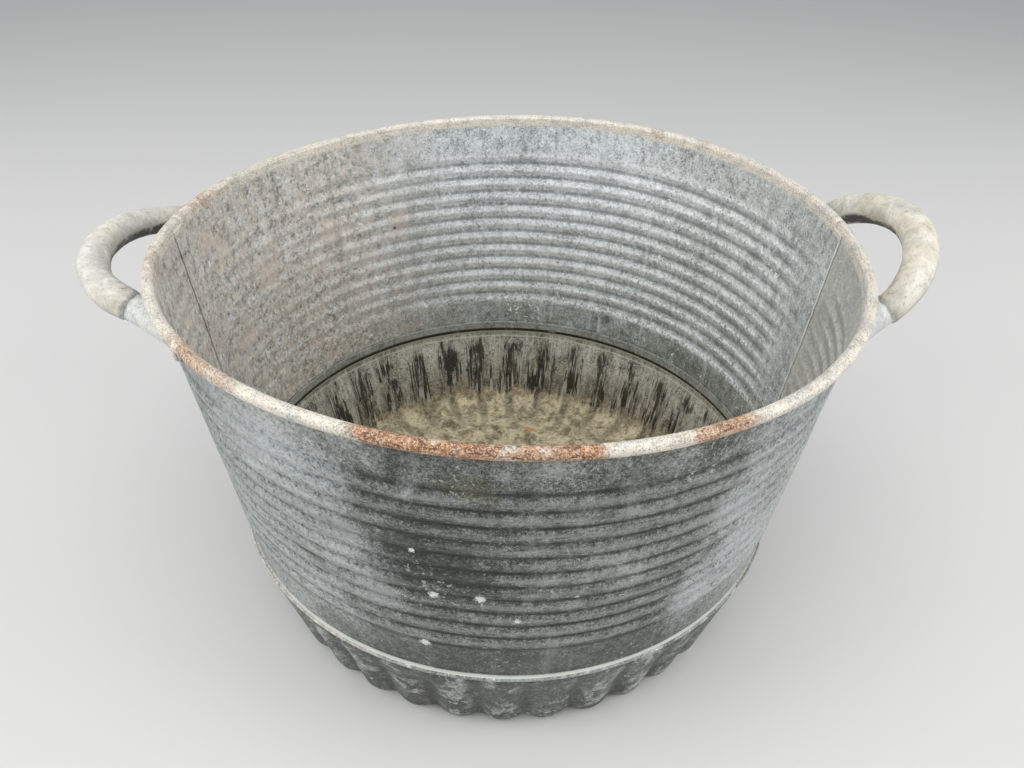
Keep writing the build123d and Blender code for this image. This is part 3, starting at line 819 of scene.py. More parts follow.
def press_ribs(bm):
    """Moves each vertex of the wall outwards by the rib's lift there."""
    for vert in bm.verts:
        radius = hypot(vert.co.x, vert.co.y)
        lift = rib_lift(down_the_wall(radius, vert.co.z))
        if lift:
            angle = atan2(vert.co.y, vert.co.x)
            move = -INWARD * lift * rib_share(angle)
            vert.co = ((radius + move.x) * cos(angle), (radius + move.x) * sin(angle), vert.co.z + move.y)


def wall_points(start, end):
    """Points of the sheet's inner face between two distances down the wall, before the ribs."""
    alongs = [start, TAB_START, 3 * MM, 5 * MM, 8 * MM, 12 * MM, 18 * MM, 26 * MM, 33 * MM]
    alongs += [RIB_TOP + RIB_PITCH * i / POINTS_PER_RIB for i in range(RIB_COUNT * POINTS_PER_RIB + 1)]
    alongs += [RIBS_END + (TAB_END - RIBS_END) * i / 5 for i in range(1, 6)]
    alongs += [TAB_END + (end - TAB_END) * i / 2 for i in range(1, 3)]
    return [on_wall(along, -SHEET) for along in alongs]


def full_section():
    """The whole section: rim roll, wall and hem roll."""
    rim = arc(RIM_CENTRE, RIM_ROLL + SHEET, ROLL_START - RIM_TURN, RIM_TURN, 36)
    hem = arc(HEM_CENTRE, HEM_ROLL + SHEET, ROLL_START, HEM_TURN, 20)
    return rim[:-1] + wall_points(0.0, WALL_LENGTH)[:-1] + hem


print("points in the wall's section:", len(full_section()))

# %% [markdown]
# Marks tell the materials where they are: on the rim's roll, on the hem, and how high on a rib. They
# are written before the wear moves the vertices, while the shape still follows its formula.


# %% Marks for the wall
def rim_mark(co):
    """1 on the rim's roll, falling to 0 a little way down the wall."""
    away = (Vector((hypot(co.x, co.y), co.z)) - RIM_CENTRE).length - RIM_ROLL - SHEET
    return max(0.0, 1.0 - max(away, 0.0) / (8 * MM))


def under_rim_mark(co):
    """1 at the bottom of the rim's roll and 0 on its upper half."""
    return max(0.0, (RIM_CENTRE.y - co.z) / (RIM_ROLL + SHEET)) if rim_mark(co) > 0.7 else 0.0


def hem_mark(co):
    """1 on the hem's roll."""
    away = (Vector((hypot(co.x, co.y), co.z)) - HEM_CENTRE).length - HEM_ROLL - SHEET
    return max(0.0, 1.0 - max(away, 0.0) / (3 * MM))


def rib_mark(co):
    """0 in a groove, 1 on a crest, and about a half on the plain bands."""
    along = down_the_wall(hypot(co.x, co.y), co.z)
    past = max(RIB_TOP - along, along - RIBS_END, 0.0)
    ribbed = rib_lift(along) / RIB_DEPTH + 0.5 * min(past / (3 * MM), 1.0)
    return 0.5 + (ribbed - 0.5) * rib_share(atan2(co.y, co.x))


def crest_mark(co):
    """1 where the sheet comes nearest to the inside, between two ribs."""
    along = down_the_wall(hypot(co.x, co.y), co.z)
    if not RIB_TOP - RIB_PITCH / 2 < along < RIBS_END + RIB_PITCH / 2:
        return 0.0
    past = max(RIB_TOP - along, along - RIBS_END, 0.0)
    crest = (1 - rib_lift(along) / RIB_DEPTH) ** 2 * max(1 - past / (2.5 * MM), 0.0)
    return crest * rib_share(atan2(co.y, co.x))


def mark_wall(bm):
    """All the wall's marks."""
    rules = (("rim", rim_mark), ("under_rim", under_rim_mark), ("hem", hem_mark), ("rib", rib_mark),
             ("crest", crest_mark))
    for name, rule in rules:
        mark(bm, name, rule)
    press_ribs(bm)


# %% Front half
LAP = 15 * MM / (254 * MM)
LAP_STEP = 2 * MM / (254 * MM)
EDGE_GAP = GAP / (254 * MM)
STEPS_PER_TURN = 300


def make_front_wall():
    """The front half runs a little past the side seams at both ends."""
    bm = bmesh.new()
    turn = pi + LAP
    spin_section(bm, full_section(), pi - LAP / 2, turn, round(STEPS_PER_TURN * turn / tau))
    mark_wall(bm)
    face_out(bm)
    wear(bm)
    return finish_piece(
        bm, "front_wall_sheet", "front_wall", [WALL_INSIDE, WALL_OUTSIDE], SHEET
    )


front_wall = make_front_wall()

# %% [markdown]
# The back half stops at the front half's edges, but between the rim and the base its sheet runs on
# behind the front half as a tab, set inwards by one sheet. It is spun over the whole lap, the rolls are
# cut away beyond the edges, and the tabs are then pushed inwards.

# %% Back half
BACK_EDGE = LAP / 2 + EDGE_GAP


def past_edge(co):
    """How far a place lies past the back half's edge, towards either seam, as an angle."""
    angle = atan2(co.y, co.x)
    if abs(angle) < pi / 2:
        return BACK_EDGE - angle
    return angle % tau - (pi - BACK_EDGE)


def make_back_wall():
    """The back half with its two tabs."""
    bm = bmesh.new()
    inner_steps = 150
    step = (pi - 2 * BACK_EDGE) / inner_steps
    spin_section(bm, full_section(), BACK_EDGE, pi - 2 * BACK_EDGE, inner_steps)
    ends = [(BACK_EDGE, -1), (pi - BACK_EDGE, 1)]
    for angle, side in ends:
        edge_points = [(p.x, p.y) for p in wall_points(0.0, WALL_LENGTH)]
        edge_points = [p for p in edge_points if TAB_START - GAP < down_the_wall(*p) < TAB_END + GAP]
        for turn, steps in ((LAP_STEP, 3), (LAP, 8)):
            spin_tab(bm, edge_points, angle, side * turn, steps)
            angle += side * turn
    bmesh.ops.remove_doubles(bm, verts=bm.verts, dist=0.00001)
    mark_wall(bm)
    face_out(bm)
    for vert in bm.verts:
        over = past_edge(vert.co)
        if over > 0:
            share = min(over / LAP_STEP, 1.0)
            share = share * share * (3 - 2 * share)
            radius = hypot(vert.co.x, vert.co.y)
            scale = (radius - (SHEET + GAP) * share) / radius
            vert.co.x *= scale
            vert.co.y *= scale
    wear(bm)
    return finish_piece(
        bm, "back_wall_sheet", "back_wall", [WALL_INSIDE, WALL_OUTSIDE], SHEET
    )


def spin_tab(bm, points, start, turn, steps):
    """A short spin of part of the wall's line, either way round."""
    verts, edges = chain(bm, points)
    bmesh.ops.rotate(bm, verts=verts, matrix=Matrix.Rotation(start, 3, "Z"))
    bmesh.ops.spin(
        bm, geom=verts + edges, cent=(0, 0, 0), axis=(0, 0, 1), angle=turn, steps=steps, use_merge=False,
        use_duplicate=False)


back_wall = make_back_wall()

# %% [markdown]
# ## The hoop
#
# The steel hoop is hidden in the rim's roll. It shows only as a dark line where the roll's edge comes
# back to the wall.

# %% Hoop
def make_hoop_steel():
    """Brown mill steel with light rust."""
    material, tree, shader, place = new_material("hoop_steel", 0.5)
    rust = clouds(tree, place, 90.0, 5.0, 0.7)
    colour = blend(tree, between(tree, rust, 0.4, 0.62), tint(74, 60, 52), tint(128, 84, 58))
    rough = maths(tree, "ADD", maths(tree, "MULTIPLY", rust, 0.3), 0.5)
    end_material(tree, shader, colour, rough, rust, 0.4, 0.0003)
    return material


def make_hoop():
    """A full spin of the wire's circle."""
    bm = bmesh.new()
    circle = bmesh.ops.create_circle(bm, segments=20, radius=HOOP_WIRE / 2, cap_ends=False)["verts"]
    bmesh.ops.rotate(bm, verts=circle, matrix=Matrix.Rotation(pi / 2, 3, "X"))
    bmesh.ops.translate(bm, verts=circle, vec=(RIM_CENTRE.x, 0, RIM_CENTRE.y))
    bmesh.ops.spin(
        bm, geom=list(bm.verts) + list(bm.edges), cent=(0, 0, 0), axis=(0, 0, 1), angle=tau,
        steps=STEPS_PER_TURN, use_merge=True, use_duplicate=False)
    bmesh.ops.recalc_face_normals(bm, faces=bm.faces)
    wear(bm)
    return finish_piece(bm, "hoop", "rim_hoop", [make_hoop_steel()])


hoop = make_hoop()

# %% [markdown]
# ## The base pan
#
# The pan is pressed from one disc. Its collar stands inside the wall, its shoulder carries the hem, and
# the flank below is fluted: broad lobes with narrow creases between them, which fade out on the floor.
# A spin makes the plain pan, and a formula then presses the flutes in along the sheet's own normal.

# %% The pan's plain section
PAN_SHEET = 1.2 * MM
COLLAR = 10 * MM
SHOULDER = 3.2 * MM
SHOULDER_BEND = 1.0 * MM
SHOULDER_DROP = 4.0 * MM
BASE_CORNER = 17 * MM
CORNER_CENTRE = Vector((237 * MM - BASE_CORNER, BASE_CORNER))
BEHIND_WALL = SHEET + GAP
SHOULDER_LEVEL = HEM_CENTRE.y - HEM_ROLL - SHEET - GAP
COLLAR_FOOT = on_wall(at_height(SHOULDER_LEVEL, -BEHIND_WALL), -BEHIND_WALL)
JOIN = Vector((COLLAR_FOOT.x + SHOULDER, SHOULDER_LEVEL - SHOULDER_DROP))
_to_join = JOIN - CORNER_CENTRE
FLANK_TURN = acos(BASE_CORNER / _to_join.length) - atan2(_to_join.y, _to_join.x)
FLANK_FOOT = CORNER_CENTRE + Vector((cos(FLANK_TURN), -sin(FLANK_TURN))) * BASE_CORNER
FLOOR_EDGE = CORNER_CENTRE.x


def pan_section():
    """The pan's outer face from the collar's top to near the middle of the floor."""
    points = [on_wall(WALL_LENGTH - COLLAR + COLLAR * i / 4, -BEHIND_WALL) for i in range(4)]
    bend = SHOULDER_BEND
    points += arc(COLLAR_FOOT + Vector((bend, bend)), bend, pi, pi / 2, 4)
    points += arc(JOIN + Vector((-bend, SHOULDER_DROP - bend)), bend, pi / 2, -pi / 2, 4)
    points += [JOIN + (FLANK_FOOT - JOIN) * i / 20 for i in range(20)]
    points += arc(CORNER_CENTRE, BASE_CORNER, -FLANK_TURN, FLANK_TURN - pi / 2, 10)
    floor_rings = 14
    points += [Vector((FLOOR_EDGE * (1 - i / floor_rings), 0)) for i in range(1, floor_rings + 1)]
    return points


# %% [markdown]
# A flute's depth is a share of its full depth, first across the flute and then down the pan. Across, the
# crest is a broad arc and the crease a narrow one, and the two meet at the same slope.

# %% The flutes
FLUTES = 38
FLUTE_DEPTH = 5 * MM
FLUTE_START = radians(-87.4)
CREASE_AT = 0.76
FLUTE_STEPS = 14
FLUTES_END = 196 * MM


def across_flute(angle):
    """0 in the middle of a lobe and 1 at the bottom of a crease."""
    turn = (angle - FLUTE_START) / (tau / FLUTES) % 1.0
    return abs(2 * turn - 1)


def flute_shape(angle):
    """The flute's depth across, as a share."""
    place = across_flute(angle)
    if place < CREASE_AT:
        return place * place / CREASE_AT
    return 1 - (1 - place) ** 2 / (1 - CREASE_AT)


def flute_fade(radius, height):
    """The flute's depth down the pan, as a share."""
    if radius > JOIN.x - 0.1 * MM or height > JOIN.y:
        return 0.0
    if height > FLANK_FOOT.y:
        return smooth_step((JOIN.y - height) / (JOIN.y - FLANK_FOOT.y), 0.02, 0.42)
    if radius > FLOOR_EDGE:
        turn = atan2(CORNER_CENTRE.y - height, radius - CORNER_CENTRE.x)
        return 1 - 0.4 * ((turn - FLANK_TURN) / (pi / 2 - FLANK_TURN)) ** 2
    return 0.6 * smooth_step(radius, FLUTES_END, FLOOR_EDGE)


def pan_normal(radius, height):
    """The way into the pan from its outer face."""
    if height > FLANK_FOOT.y:
        return Vector((-cos(FLANK_TURN), sin(FLANK_TURN)))
    if radius > FLOOR_EDGE:
        return (CORNER_CENTRE - Vector((radius, height))).normalized()
    return Vector((0, 1))


def press_flutes(bm):
    """Moves each vertex along the sheet's normal by the flute's depth there."""
    for vert in bm.verts:
        radius, height = hypot(vert.co.x, vert.co.y), vert.co.z
        share = flute_fade(radius, height)
        if share:
            angle = atan2(vert.co.y, vert.co.x)
            move = pan_normal(radius, height) * (FLUTE_DEPTH * share * flute_shape(angle))
            radius, height = radius + move.x, height + move.y
            vert.co = (radius * cos(angle), radius * sin(angle), height)


# %% [markdown]
# ### The pan's finish
#
# Outside, the flutes are grey with chalky blotches that are thick on the lobes. Inside, dirt has run down
# the flutes in uneven dark streaks, the ridges between them are pale, and a beige silt has dried on the
# floor.

# %% Pan finish, outside
def make_pan_outside():
    """Grey zinc with white blotches on the lobes."""
    material, tree, shader, place = new_material("pan_outside", 0.3)
    flute = read_mark(tree, "flute")
    zinc = use_group(tree, OLD_ZINC, {
        "Vector": place, "Dark": tint(58, 60, 56), "Middle": tint(84, 86, 81),
        "Light": tint(134, 138, 134), "Contrast": 1.9})
    patch = clouds(tree, place, 42.0, 6.0, 0.72, 0.4)
    grain = clouds(tree, place, 260.0, 5.0, 0.8)
    crease = maths(tree, "MULTIPLY", between(tree, flute, 0.66, 0.95), between(tree, patch, 0.2, 0.5))
    colour = blend(tree, maths(tree, "MULTIPLY", crease, 0.4), zinc["Color"], tint(52, 53, 51))
    lobe = maths(tree, "MULTIPLY", between(tree, flute, 0.85, 0.35), between(tree, patch, 0.50, 0.58))
    lobe = maths(tree, "MULTIPLY", lobe, between(tree, grain, 0.34, 0.58))
    colour = blend(tree, maths(tree, "MULTIPLY", lobe, 0.75), colour, tint(204, 206, 204))
    spots = use_group(tree, FLECKS, {"Vector": place, "Scale": 180.0, "Amount": 0.5})
    colour = blend(tree, maths(tree, "MULTIPLY", spots["Mask"], 0.8), colour, tint(214, 216, 214))
    height = maths(tree, "ADD", zinc["Height"], maths(tree, "MULTIPLY", lobe, 0.6))
    end_material(tree, shader, colour, zinc["Roughness"], height, 0.5, 0.0006)
    return material


PAN_OUTSIDE = make_pan_outside()


# %% Pan finish, inside
def make_pan_inside():
    """Dirty streaks on the flank, pale ridges, and dried silt on the floor."""
    material, tree, shader, place = new_material("pan_inside", 0.12)
    flute = read_mark(tree, "flute")
    xyz = add_node(tree, "ShaderNodeSeparateXYZ", {"Vector": place}).outputs
    zinc = use_group(tree, OLD_ZINC, {
        "Vector": place, "Dark": tint(84, 82, 72), "Middle": tint(158, 155, 143),
        "Light": tint(206, 203, 192), "Contrast": 1.8})
    patch = clouds(tree, place, 52.0, 6.0, 0.75, 0.5)
    grain = clouds(tree, place, 260.0, 5.0, 0.82)
    broad = clouds(tree, round_tub(tree, place, 0.30), 60.0, 4.0, 0.6, 0.3)
    narrow = clouds(tree, round_tub(tree, place, 0.10), 130.0, 3.0, 0.6, 0.2)
    hair = clouds(tree, round_tub(tree, place, 0.08), 300.0, 2.0, 0.6)
    started = between(tree, maths(tree, "ADD", xyz["Z"], maths(tree, "MULTIPLY", narrow, 0.05)), 0.108, 0.098)
    # One dark run down each hollow, and thinner ones beside it
    middle = maths(tree, "ADD", flute, maths(tree, "MULTIPLY", maths(tree, "SUBTRACT", narrow, 0.5), 2.2))
    run = share_of(tree, between(tree, middle, 0.26, 0.08), between(tree, broad, 0.34, 0.46))
    streak = maths(tree, "ADD", maths(tree, "MULTIPLY", broad, 0.40), maths(tree, "MULTIPLY", narrow, 0.60))
    streak = maths(tree, "ADD", streak, maths(tree, "MULTIPLY", maths(tree, "SUBTRACT", hair, 0.5), 0.20))
    streak = maths(tree, "ADD", streak, maths(tree, "MULTIPLY", between(tree, flute, 0.8, 0.3), 0.03))
    dirt = maths(tree, "MAXIMUM", run, between(tree, streak, 0.524, 0.548))
    dirt = share_of(tree, dirt, started, between(tree, grain, 0.24, 0.44))
    colour = blend(tree, share_of(tree, dirt, 0.9), zinc["Color"], tint(27, 26, 20))
    brown = share_of(tree, between(tree, xyz["Z"], 0.070, 0.020), between(tree, patch, 0.34, 0.54), 0.75)
    colour = blend(tree, brown, colour, tint(168, 152, 124), "MULTIPLY")
    lime = share_of(tree, between(tree, hair, 0.54, 0.60), between(tree, patch, 0.36, 0.56), 0.75)
    colour = blend(tree, lime, colour, tint(196, 193, 181))
    ridge = share_of(tree, between(tree, flute, 0.76, 0.98), between(tree, grain, 0.40, 0.58), 0.35)
    colour = blend(tree, ridge, colour, tint(198, 195, 184))
    # The collar is as grey as the wall above it. Below it, dirt and painted shadow make a dark line at the joint, and
    # two painted highlights make bright lines along the collar's edges
    grey = use_group(tree, OLD_ZINC, {
        "Vector": place, "Dark": tint(98, 100, 95), "Middle": tint(144, 147, 140),
        "Light": tint(170, 172, 165), "Contrast": 2.0})
    colour = blend(tree, between(tree, xyz["Z"], 0.0955, 0.0985), colour, grey["Color"])
    joint = share_of(tree, between(tree, xyz["Z"], 0.0945, 0.0955), between(tree, xyz["Z"], 0.0998, 0.0984),
                     between(tree, patch, 0.30, 0.46))
    colour = blend(tree, joint, colour, tint(36, 34, 28))
    # Painted highlights: two bright lines below the joint
    for level, half, strength in ((0.0932, 0.0015, 1.0), (0.0865, 0.0008, 0.55)):
        away = maths(tree, "ABSOLUTE", maths(tree, "SUBTRACT", xyz["Z"], level))
        line = share_of(tree, between(tree, away, 1.6 * half, 0.5 * half), between(tree, grain, 0.30, 0.44), strength)
        colour = blend(tree, line, colour, tint(216, 216, 208))
    floor_level = maths(tree, "MULTIPLY", maths(tree, "SUBTRACT", patch, 0.5), 0.085)
    floor_level = maths(tree, "ADD", maths(tree, "ADD", xyz["Z"], floor_level),
                        maths(tree, "MULTIPLY", maths(tree, "SUBTRACT", narrow, 0.5), 0.03))
    silted = between(tree, floor_level, 0.024, 0.011)
    silt = blend(tree, between(tree, patch, 0.36, 0.60), tint(122, 110, 84), tint(218, 205, 172))
    silt = blend(tree, share_of(tree, between(tree, grain, 0.52, 0.66), 0.7), silt, tint(226, 218, 194))
    silt = blend(tree, share_of(tree, between(tree, grain, 0.46, 0.36), 0.75), silt, tint(84, 76, 58))
    damp = between(tree, clouds(tree, place, 30.0, 6.0, 0.8, 0.8), 0.52, 0.64)
    silt = blend(tree, share_of(tree, damp, 0.6), silt, tint(100, 92, 70))
    radius = add_node(tree, "ShaderNodeVectorMath", {0: stretched(tree, place, (1.0, 1.0, 0.0))}, operation="LENGTH")
    edge = between(tree, radius.outputs["Value"], 0.165, 0.222)
    gutter = share_of(tree, edge, between(tree, flute, 0.46, 0.12), between(tree, patch, 0.42, 0.58))
    silt = blend(tree, share_of(tree, gutter, 0.85), silt, tint(48, 45, 35))
    colour = blend(tree, share_of(tree, silted, 0.94), colour, silt)
    colour = add_blotches(tree, place, colour, 0.9, tint(196, 138, 92), ((31, 167, 2, 4.5), (36, 165, 2, 3.5)))
    rough = maths(tree, "ADD", maths(tree, "MULTIPLY", silted, 0.3), zinc["Roughness"])
    height = maths(tree, "ADD", zinc["Height"], maths(tree, "MULTIPLY", silted, maths(tree, "ADD", patch, grain)))
    end_material(tree, shader, colour, rough, height, 0.8, 0.0009)
    return material


PAN_INSIDE = make_pan_inside()


# %% Make the pan
def make_base_pan():
    """A full spin of the plain section, then the flutes."""
    bm = bmesh.new()
    section = [(point.x, point.y) for point in pan_section()]
    spin_section(bm, section, FLUTE_START, tau, FLUTES * FLUTE_STEPS)
    bmesh.ops.remove_doubles(bm, verts=bm.verts, dist=0.00001)
    mark(bm, "flute", lambda co: across_flute(atan2(co.y, co.x)))
    press_flutes(bm)
    face_out(bm)
    wear(bm)
    return finish_piece(bm, "pan", "base_pan", [PAN_OUTSIDE, PAN_INSIDE], PAN_SHEET)


base_pan = make_base_pan()

# %% [markdown]
# ## The grips
#
# A grip is a sheet rolled into a tube, bent to half an oval and tapered to its ends. Its seam runs along
# the inner, lower side, where dirt has gathered. Rings are set square to the oval and bridged, and then
# pressed a little out of true, as a hand-bent tube is.

# %% The grip's line
GRIP_REACH = 342 * MM
GRIP_LEVEL = 349 * MM
GRIP_HALF_SPAN = 81.5 * MM
GRIP_DEPTH = 62.5 * MM
GRIP_RISE = radians(29)
GRIP_RADIUS = 12.8 * MM
GRIP_END_RADIUS = 12.0 * MM
GRIP_SHEET = 1.2 * MM
GRIP_END = radians(81)
GRIP_OUT = Vector((cos(GRIP_RISE), 0, sin(GRIP_RISE)))
GRIP_UP = Vector((-sin(GRIP_RISE), 0, cos(GRIP_RISE)))
GRIP_ACROSS = Vector((0, 1, 0))
GRIP_CENTRE = Vector((GRIP_REACH, 0, GRIP_LEVEL)) - GRIP_OUT * GRIP_DEPTH


def square_to(origin, way, up):
    """A matrix whose z looks one way and whose x is as near to up as it can be."""
    z_axis = way.normalized()
    y_axis = z_axis.cross(up).normalized()
    x_axis = y_axis.cross(z_axis)
    return Matrix.Translation(origin) @ Matrix((x_axis, y_axis, z_axis)).transposed().to_4x4()


def grip_place(turn):
    """The ring's matrix at an angle from the grip's outermost point."""
    origin = GRIP_CENTRE + GRIP_ACROSS * (GRIP_HALF_SPAN * sin(turn)) + GRIP_OUT * (GRIP_DEPTH * cos(turn))
    way = GRIP_ACROSS * (GRIP_HALF_SPAN * cos(turn)) - GRIP_OUT * (GRIP_DEPTH * sin(turn))
    return square_to(origin, way, GRIP_UP)


def grip_radius(turn):
    """Thickest in the middle, tapered to the ends."""
    return GRIP_END_RADIUS + (GRIP_RADIUS - GRIP_END_RADIUS) * cos(pi / 2 * turn / GRIP_END)


# %% Rings and bridges
def add_ring(bm, place, radius, sides):
    """One circle of vertices, square to a matrix's z."""
    made = bmesh.ops.create_circle(bm, cap_ends=False, segments=sides, radius=radius, matrix=place)
    return made["verts"]


def ring_edges(ring):
    """The edges that join a ring's vertices."""
    inside = set(ring)
    return list({edge for vert in ring for edge in vert.link_edges if edge.other_vert(vert) in inside})


def bridge_rings(bm, rings):
    """Joins each ring to the next."""
    edges = [ring_edges(ring) for ring in rings]
    for first, second in zip(edges, edges[1:]):
        bmesh.ops.bridge_loops(bm, edges=first + second)


# %% Grip finish
def make_grip_finish():
    """Chalky off-white zinc, worn thin in patches, and dirty along the seam."""
    material, tree, shader, place = new_material("grip_zinc", 0.08)
    seam = read_mark(tree, "seam")
    under = read_mark(tree, "under")
    across = axis_of(tree, place, "X")
    patch = clouds(tree, place, 60.0, 6.0, 0.74, 0.4)
    broad = clouds(tree, place, 26.0, 5.0, 0.65, 0.5)
    grain = clouds(tree, place, 330.0, 5.0, 0.82)
    warm = between(tree, maths(tree, "ADD", broad, maths(tree, "MULTIPLY", across, 0.22)), 0.42, 0.62)
    colour = blend(tree, warm, tint(204, 202, 194), tint(214, 206, 186))
    pale = share_of(tree, between(tree, patch, 0.48, 0.62), between(tree, grain, 0.30, 0.56), 0.75)
    colour = blend(tree, pale, colour, tint(236, 232, 221))
    dull = share_of(tree, between(tree, patch, 0.50, 0.40), between(tree, grain, 0.66, 0.42), 0.6)
    colour = blend(tree, dull, colour, tint(168, 164, 152))
    blue = share_of(tree, between(tree, under, 0.15, 0.75), between(tree, patch, 0.28, 0.5), 0.55)
    colour = blend(tree, blue, colour, tint(160, 164, 165))
    pores = share_of(tree, between(tree, grain, 0.43, 0.35), between(tree, patch, 0.40, 0.56), 0.7)
    colour = blend(tree, pores, colour, tint(120, 112, 94))
    spots = use_group(tree, FLECKS, {"Vector": place, "Scale": 150.0, "Amount": 0.40})
    colour = blend(tree, share_of(tree, spots["Mask"], 0.7), colour, tint(88, 83, 72))
    dirt = maths(tree, "ADD", maths(tree, "MULTIPLY", seam, 0.8),
                 maths(tree, "MULTIPLY", maths(tree, "SUBTRACT", patch, 0.5), 2.2))
    dirt = maths(tree, "ADD", dirt, maths(tree, "MULTIPLY", maths(tree, "SUBTRACT", grain, 0.5), 1.8))
    dirt = share_of(tree, between(tree, dirt, 0.34, 0.70), between(tree, seam, 0.20, 0.60))
    colour = blend(tree, share_of(tree, dirt, 0.9), colour, tint(46, 42, 35))
    rough = maths(tree, "ADD", maths(tree, "MULTIPLY", patch, 0.3), 0.42)
    height = maths(tree, "ADD", grain, maths(tree, "MULTIPLY", patch, 1.0))
    end_material(tree, shader, colour, rough, height, 0.6, 0.0008)
    return material


GRIP_ZINC = make_grip_finish()

# %% Make the grips
GRIP_RINGS = 72
GRIP_SIDES = 48
GRIP_DENT = 0.45 * MM
DENT_SIZE = 0.021
SEAM_TURN = radians(257)
SEAM_WIDTH = radians(7)
SEAM_DEPTH = 0.8 * MM
END_RAGGED = 2.4 * MM


def make_grip(side, name, node):
    """One grip: rings along the oval, a seam, small dents and ragged ends."""
    bm = bmesh.new()
    seam = bm.verts.layers.float.new("seam")
    under = bm.verts.layers.float.new("under")
    rings = []
    for index in range(GRIP_RINGS + 1):
        turn = GRIP_END * (2 * index / GRIP_RINGS - 1)
        place = grip_place(turn)
        ring = add_ring(bm, place, grip_radius(turn), GRIP_SIDES)
        origin, way = place.translation, place.col[2].to_3d()
        for vert in ring:
            spoke = vert.co - origin
            angle = atan2(spoke.dot(place.col[1].to_3d()), spoke.dot(place.col[0].to_3d())) % tau
            past = (angle - SEAM_TURN + pi) % tau - pi
            vert[seam] = exp(-((past / (5.2 * SEAM_WIDTH)) ** 2))
            vert[under] = max(0.0, -cos(angle))
            dent = GRIP_DENT * noise.noise(vert.co / DENT_SIZE) + GRIP_DENT * 0.4 * noise.noise(vert.co / 0.007)
            dent -= SEAM_DEPTH * exp(-((past / SEAM_WIDTH) ** 2))
            vert.co = origin + spoke * (1 + dent / spoke.length)
            near_end = smooth_step(abs(turn), GRIP_END - radians(9), GRIP_END)
            ragged = END_RAGGED * noise.noise(Vector((3 * cos(angle), 3 * sin(angle), side + index // 40)))
            vert.co += way * (ragged * near_end)
        rings.append(ring)
    bridge_rings(bm, rings)
    bmesh.ops.scale(bm, verts=bm.verts, vec=(side, 1, 1))
    face_out(bm)
    wear(bm)
    return finish_piece(bm, name, node, [GRIP_ZINC], GRIP_SHEET)


right_grip = make_grip(1, "right_grip_tube", "right_grip")
left_grip = make_grip(-1, "left_grip_tube", "left_grip")

# %% [markdown]
# ## The feet
#
# Each foot is one pressing. A stub sits in the grip's end, a short neck turns towards the wall, and the
# metal flares into an oval flange that is bent to the wall and riveted. The rings change step by step
# from the neck's circle to the flange's oval, so the flare has the round throat of a drawn part.

# %% The foot's rings
FOOT_SHEET = 1.6 * MM
FOOT_LEVEL = 325 * MM
FOOT_ANGLE = radians(23.5)
FLANGE_HALF_LENGTH = 54 * MM
FLANGE_HALF_HEIGHT = 11 * MM
FLARE_HALF_LENGTH = 36.5 * MM
FLARE_HALF_HEIGHT = 9.5 * MM
NECK_RADIUS = 11 * MM
NECK_LENGTH = 5 * MM
JOINT_GAP = 0.3 * MM
STUB_TURN = radians(17)
STUB_RADIUS = GRIP_END_RADIUS - GRIP_SHEET - GAP
FOOT_SIDES = 48
FOOT_ALONG = at_height(FOOT_LEVEL)
FOOT_OUTWARD = GAP + FOOT_SHEET


def spot_on_wall(angle, across, up, outward):
    """A place on the wall: so far round from an angle, so far up from the feet's level, so far outside."""
    place = on_wall(FOOT_ALONG - up, outward)
    turn = angle + across / place.x
    return Vector((place.x * cos(turn), place.x * sin(turn), place.y))


def oval_on_wall(half_length, half_height, outward):
    """An oval's places on the wall, in step with a ring's vertices."""
    turns = [tau * i / FOOT_SIDES for i in range(FOOT_SIDES)]
    return [
        spot_on_wall(FOOT_ANGLE, half_length * sin(turn), half_height * cos(turn), outward)
        for turn in turns
    ]


def add_loop(bm, places):
    """A closed loop of vertices through places."""
    verts = [bm.verts.new(place) for place in places]
    for first, second in zip(verts, verts[1:] + verts[:1]):
        bm.edges.new((first, second))
    return verts


def circle_places(place, radius):
    """A circle's places, in step with the ovals."""
    turns = [tau * i / FOOT_SIDES for i in range(FOOT_SIDES)]
    return [place @ Vector((radius * cos(turn), radius * sin(turn), 0)) for turn in turns]


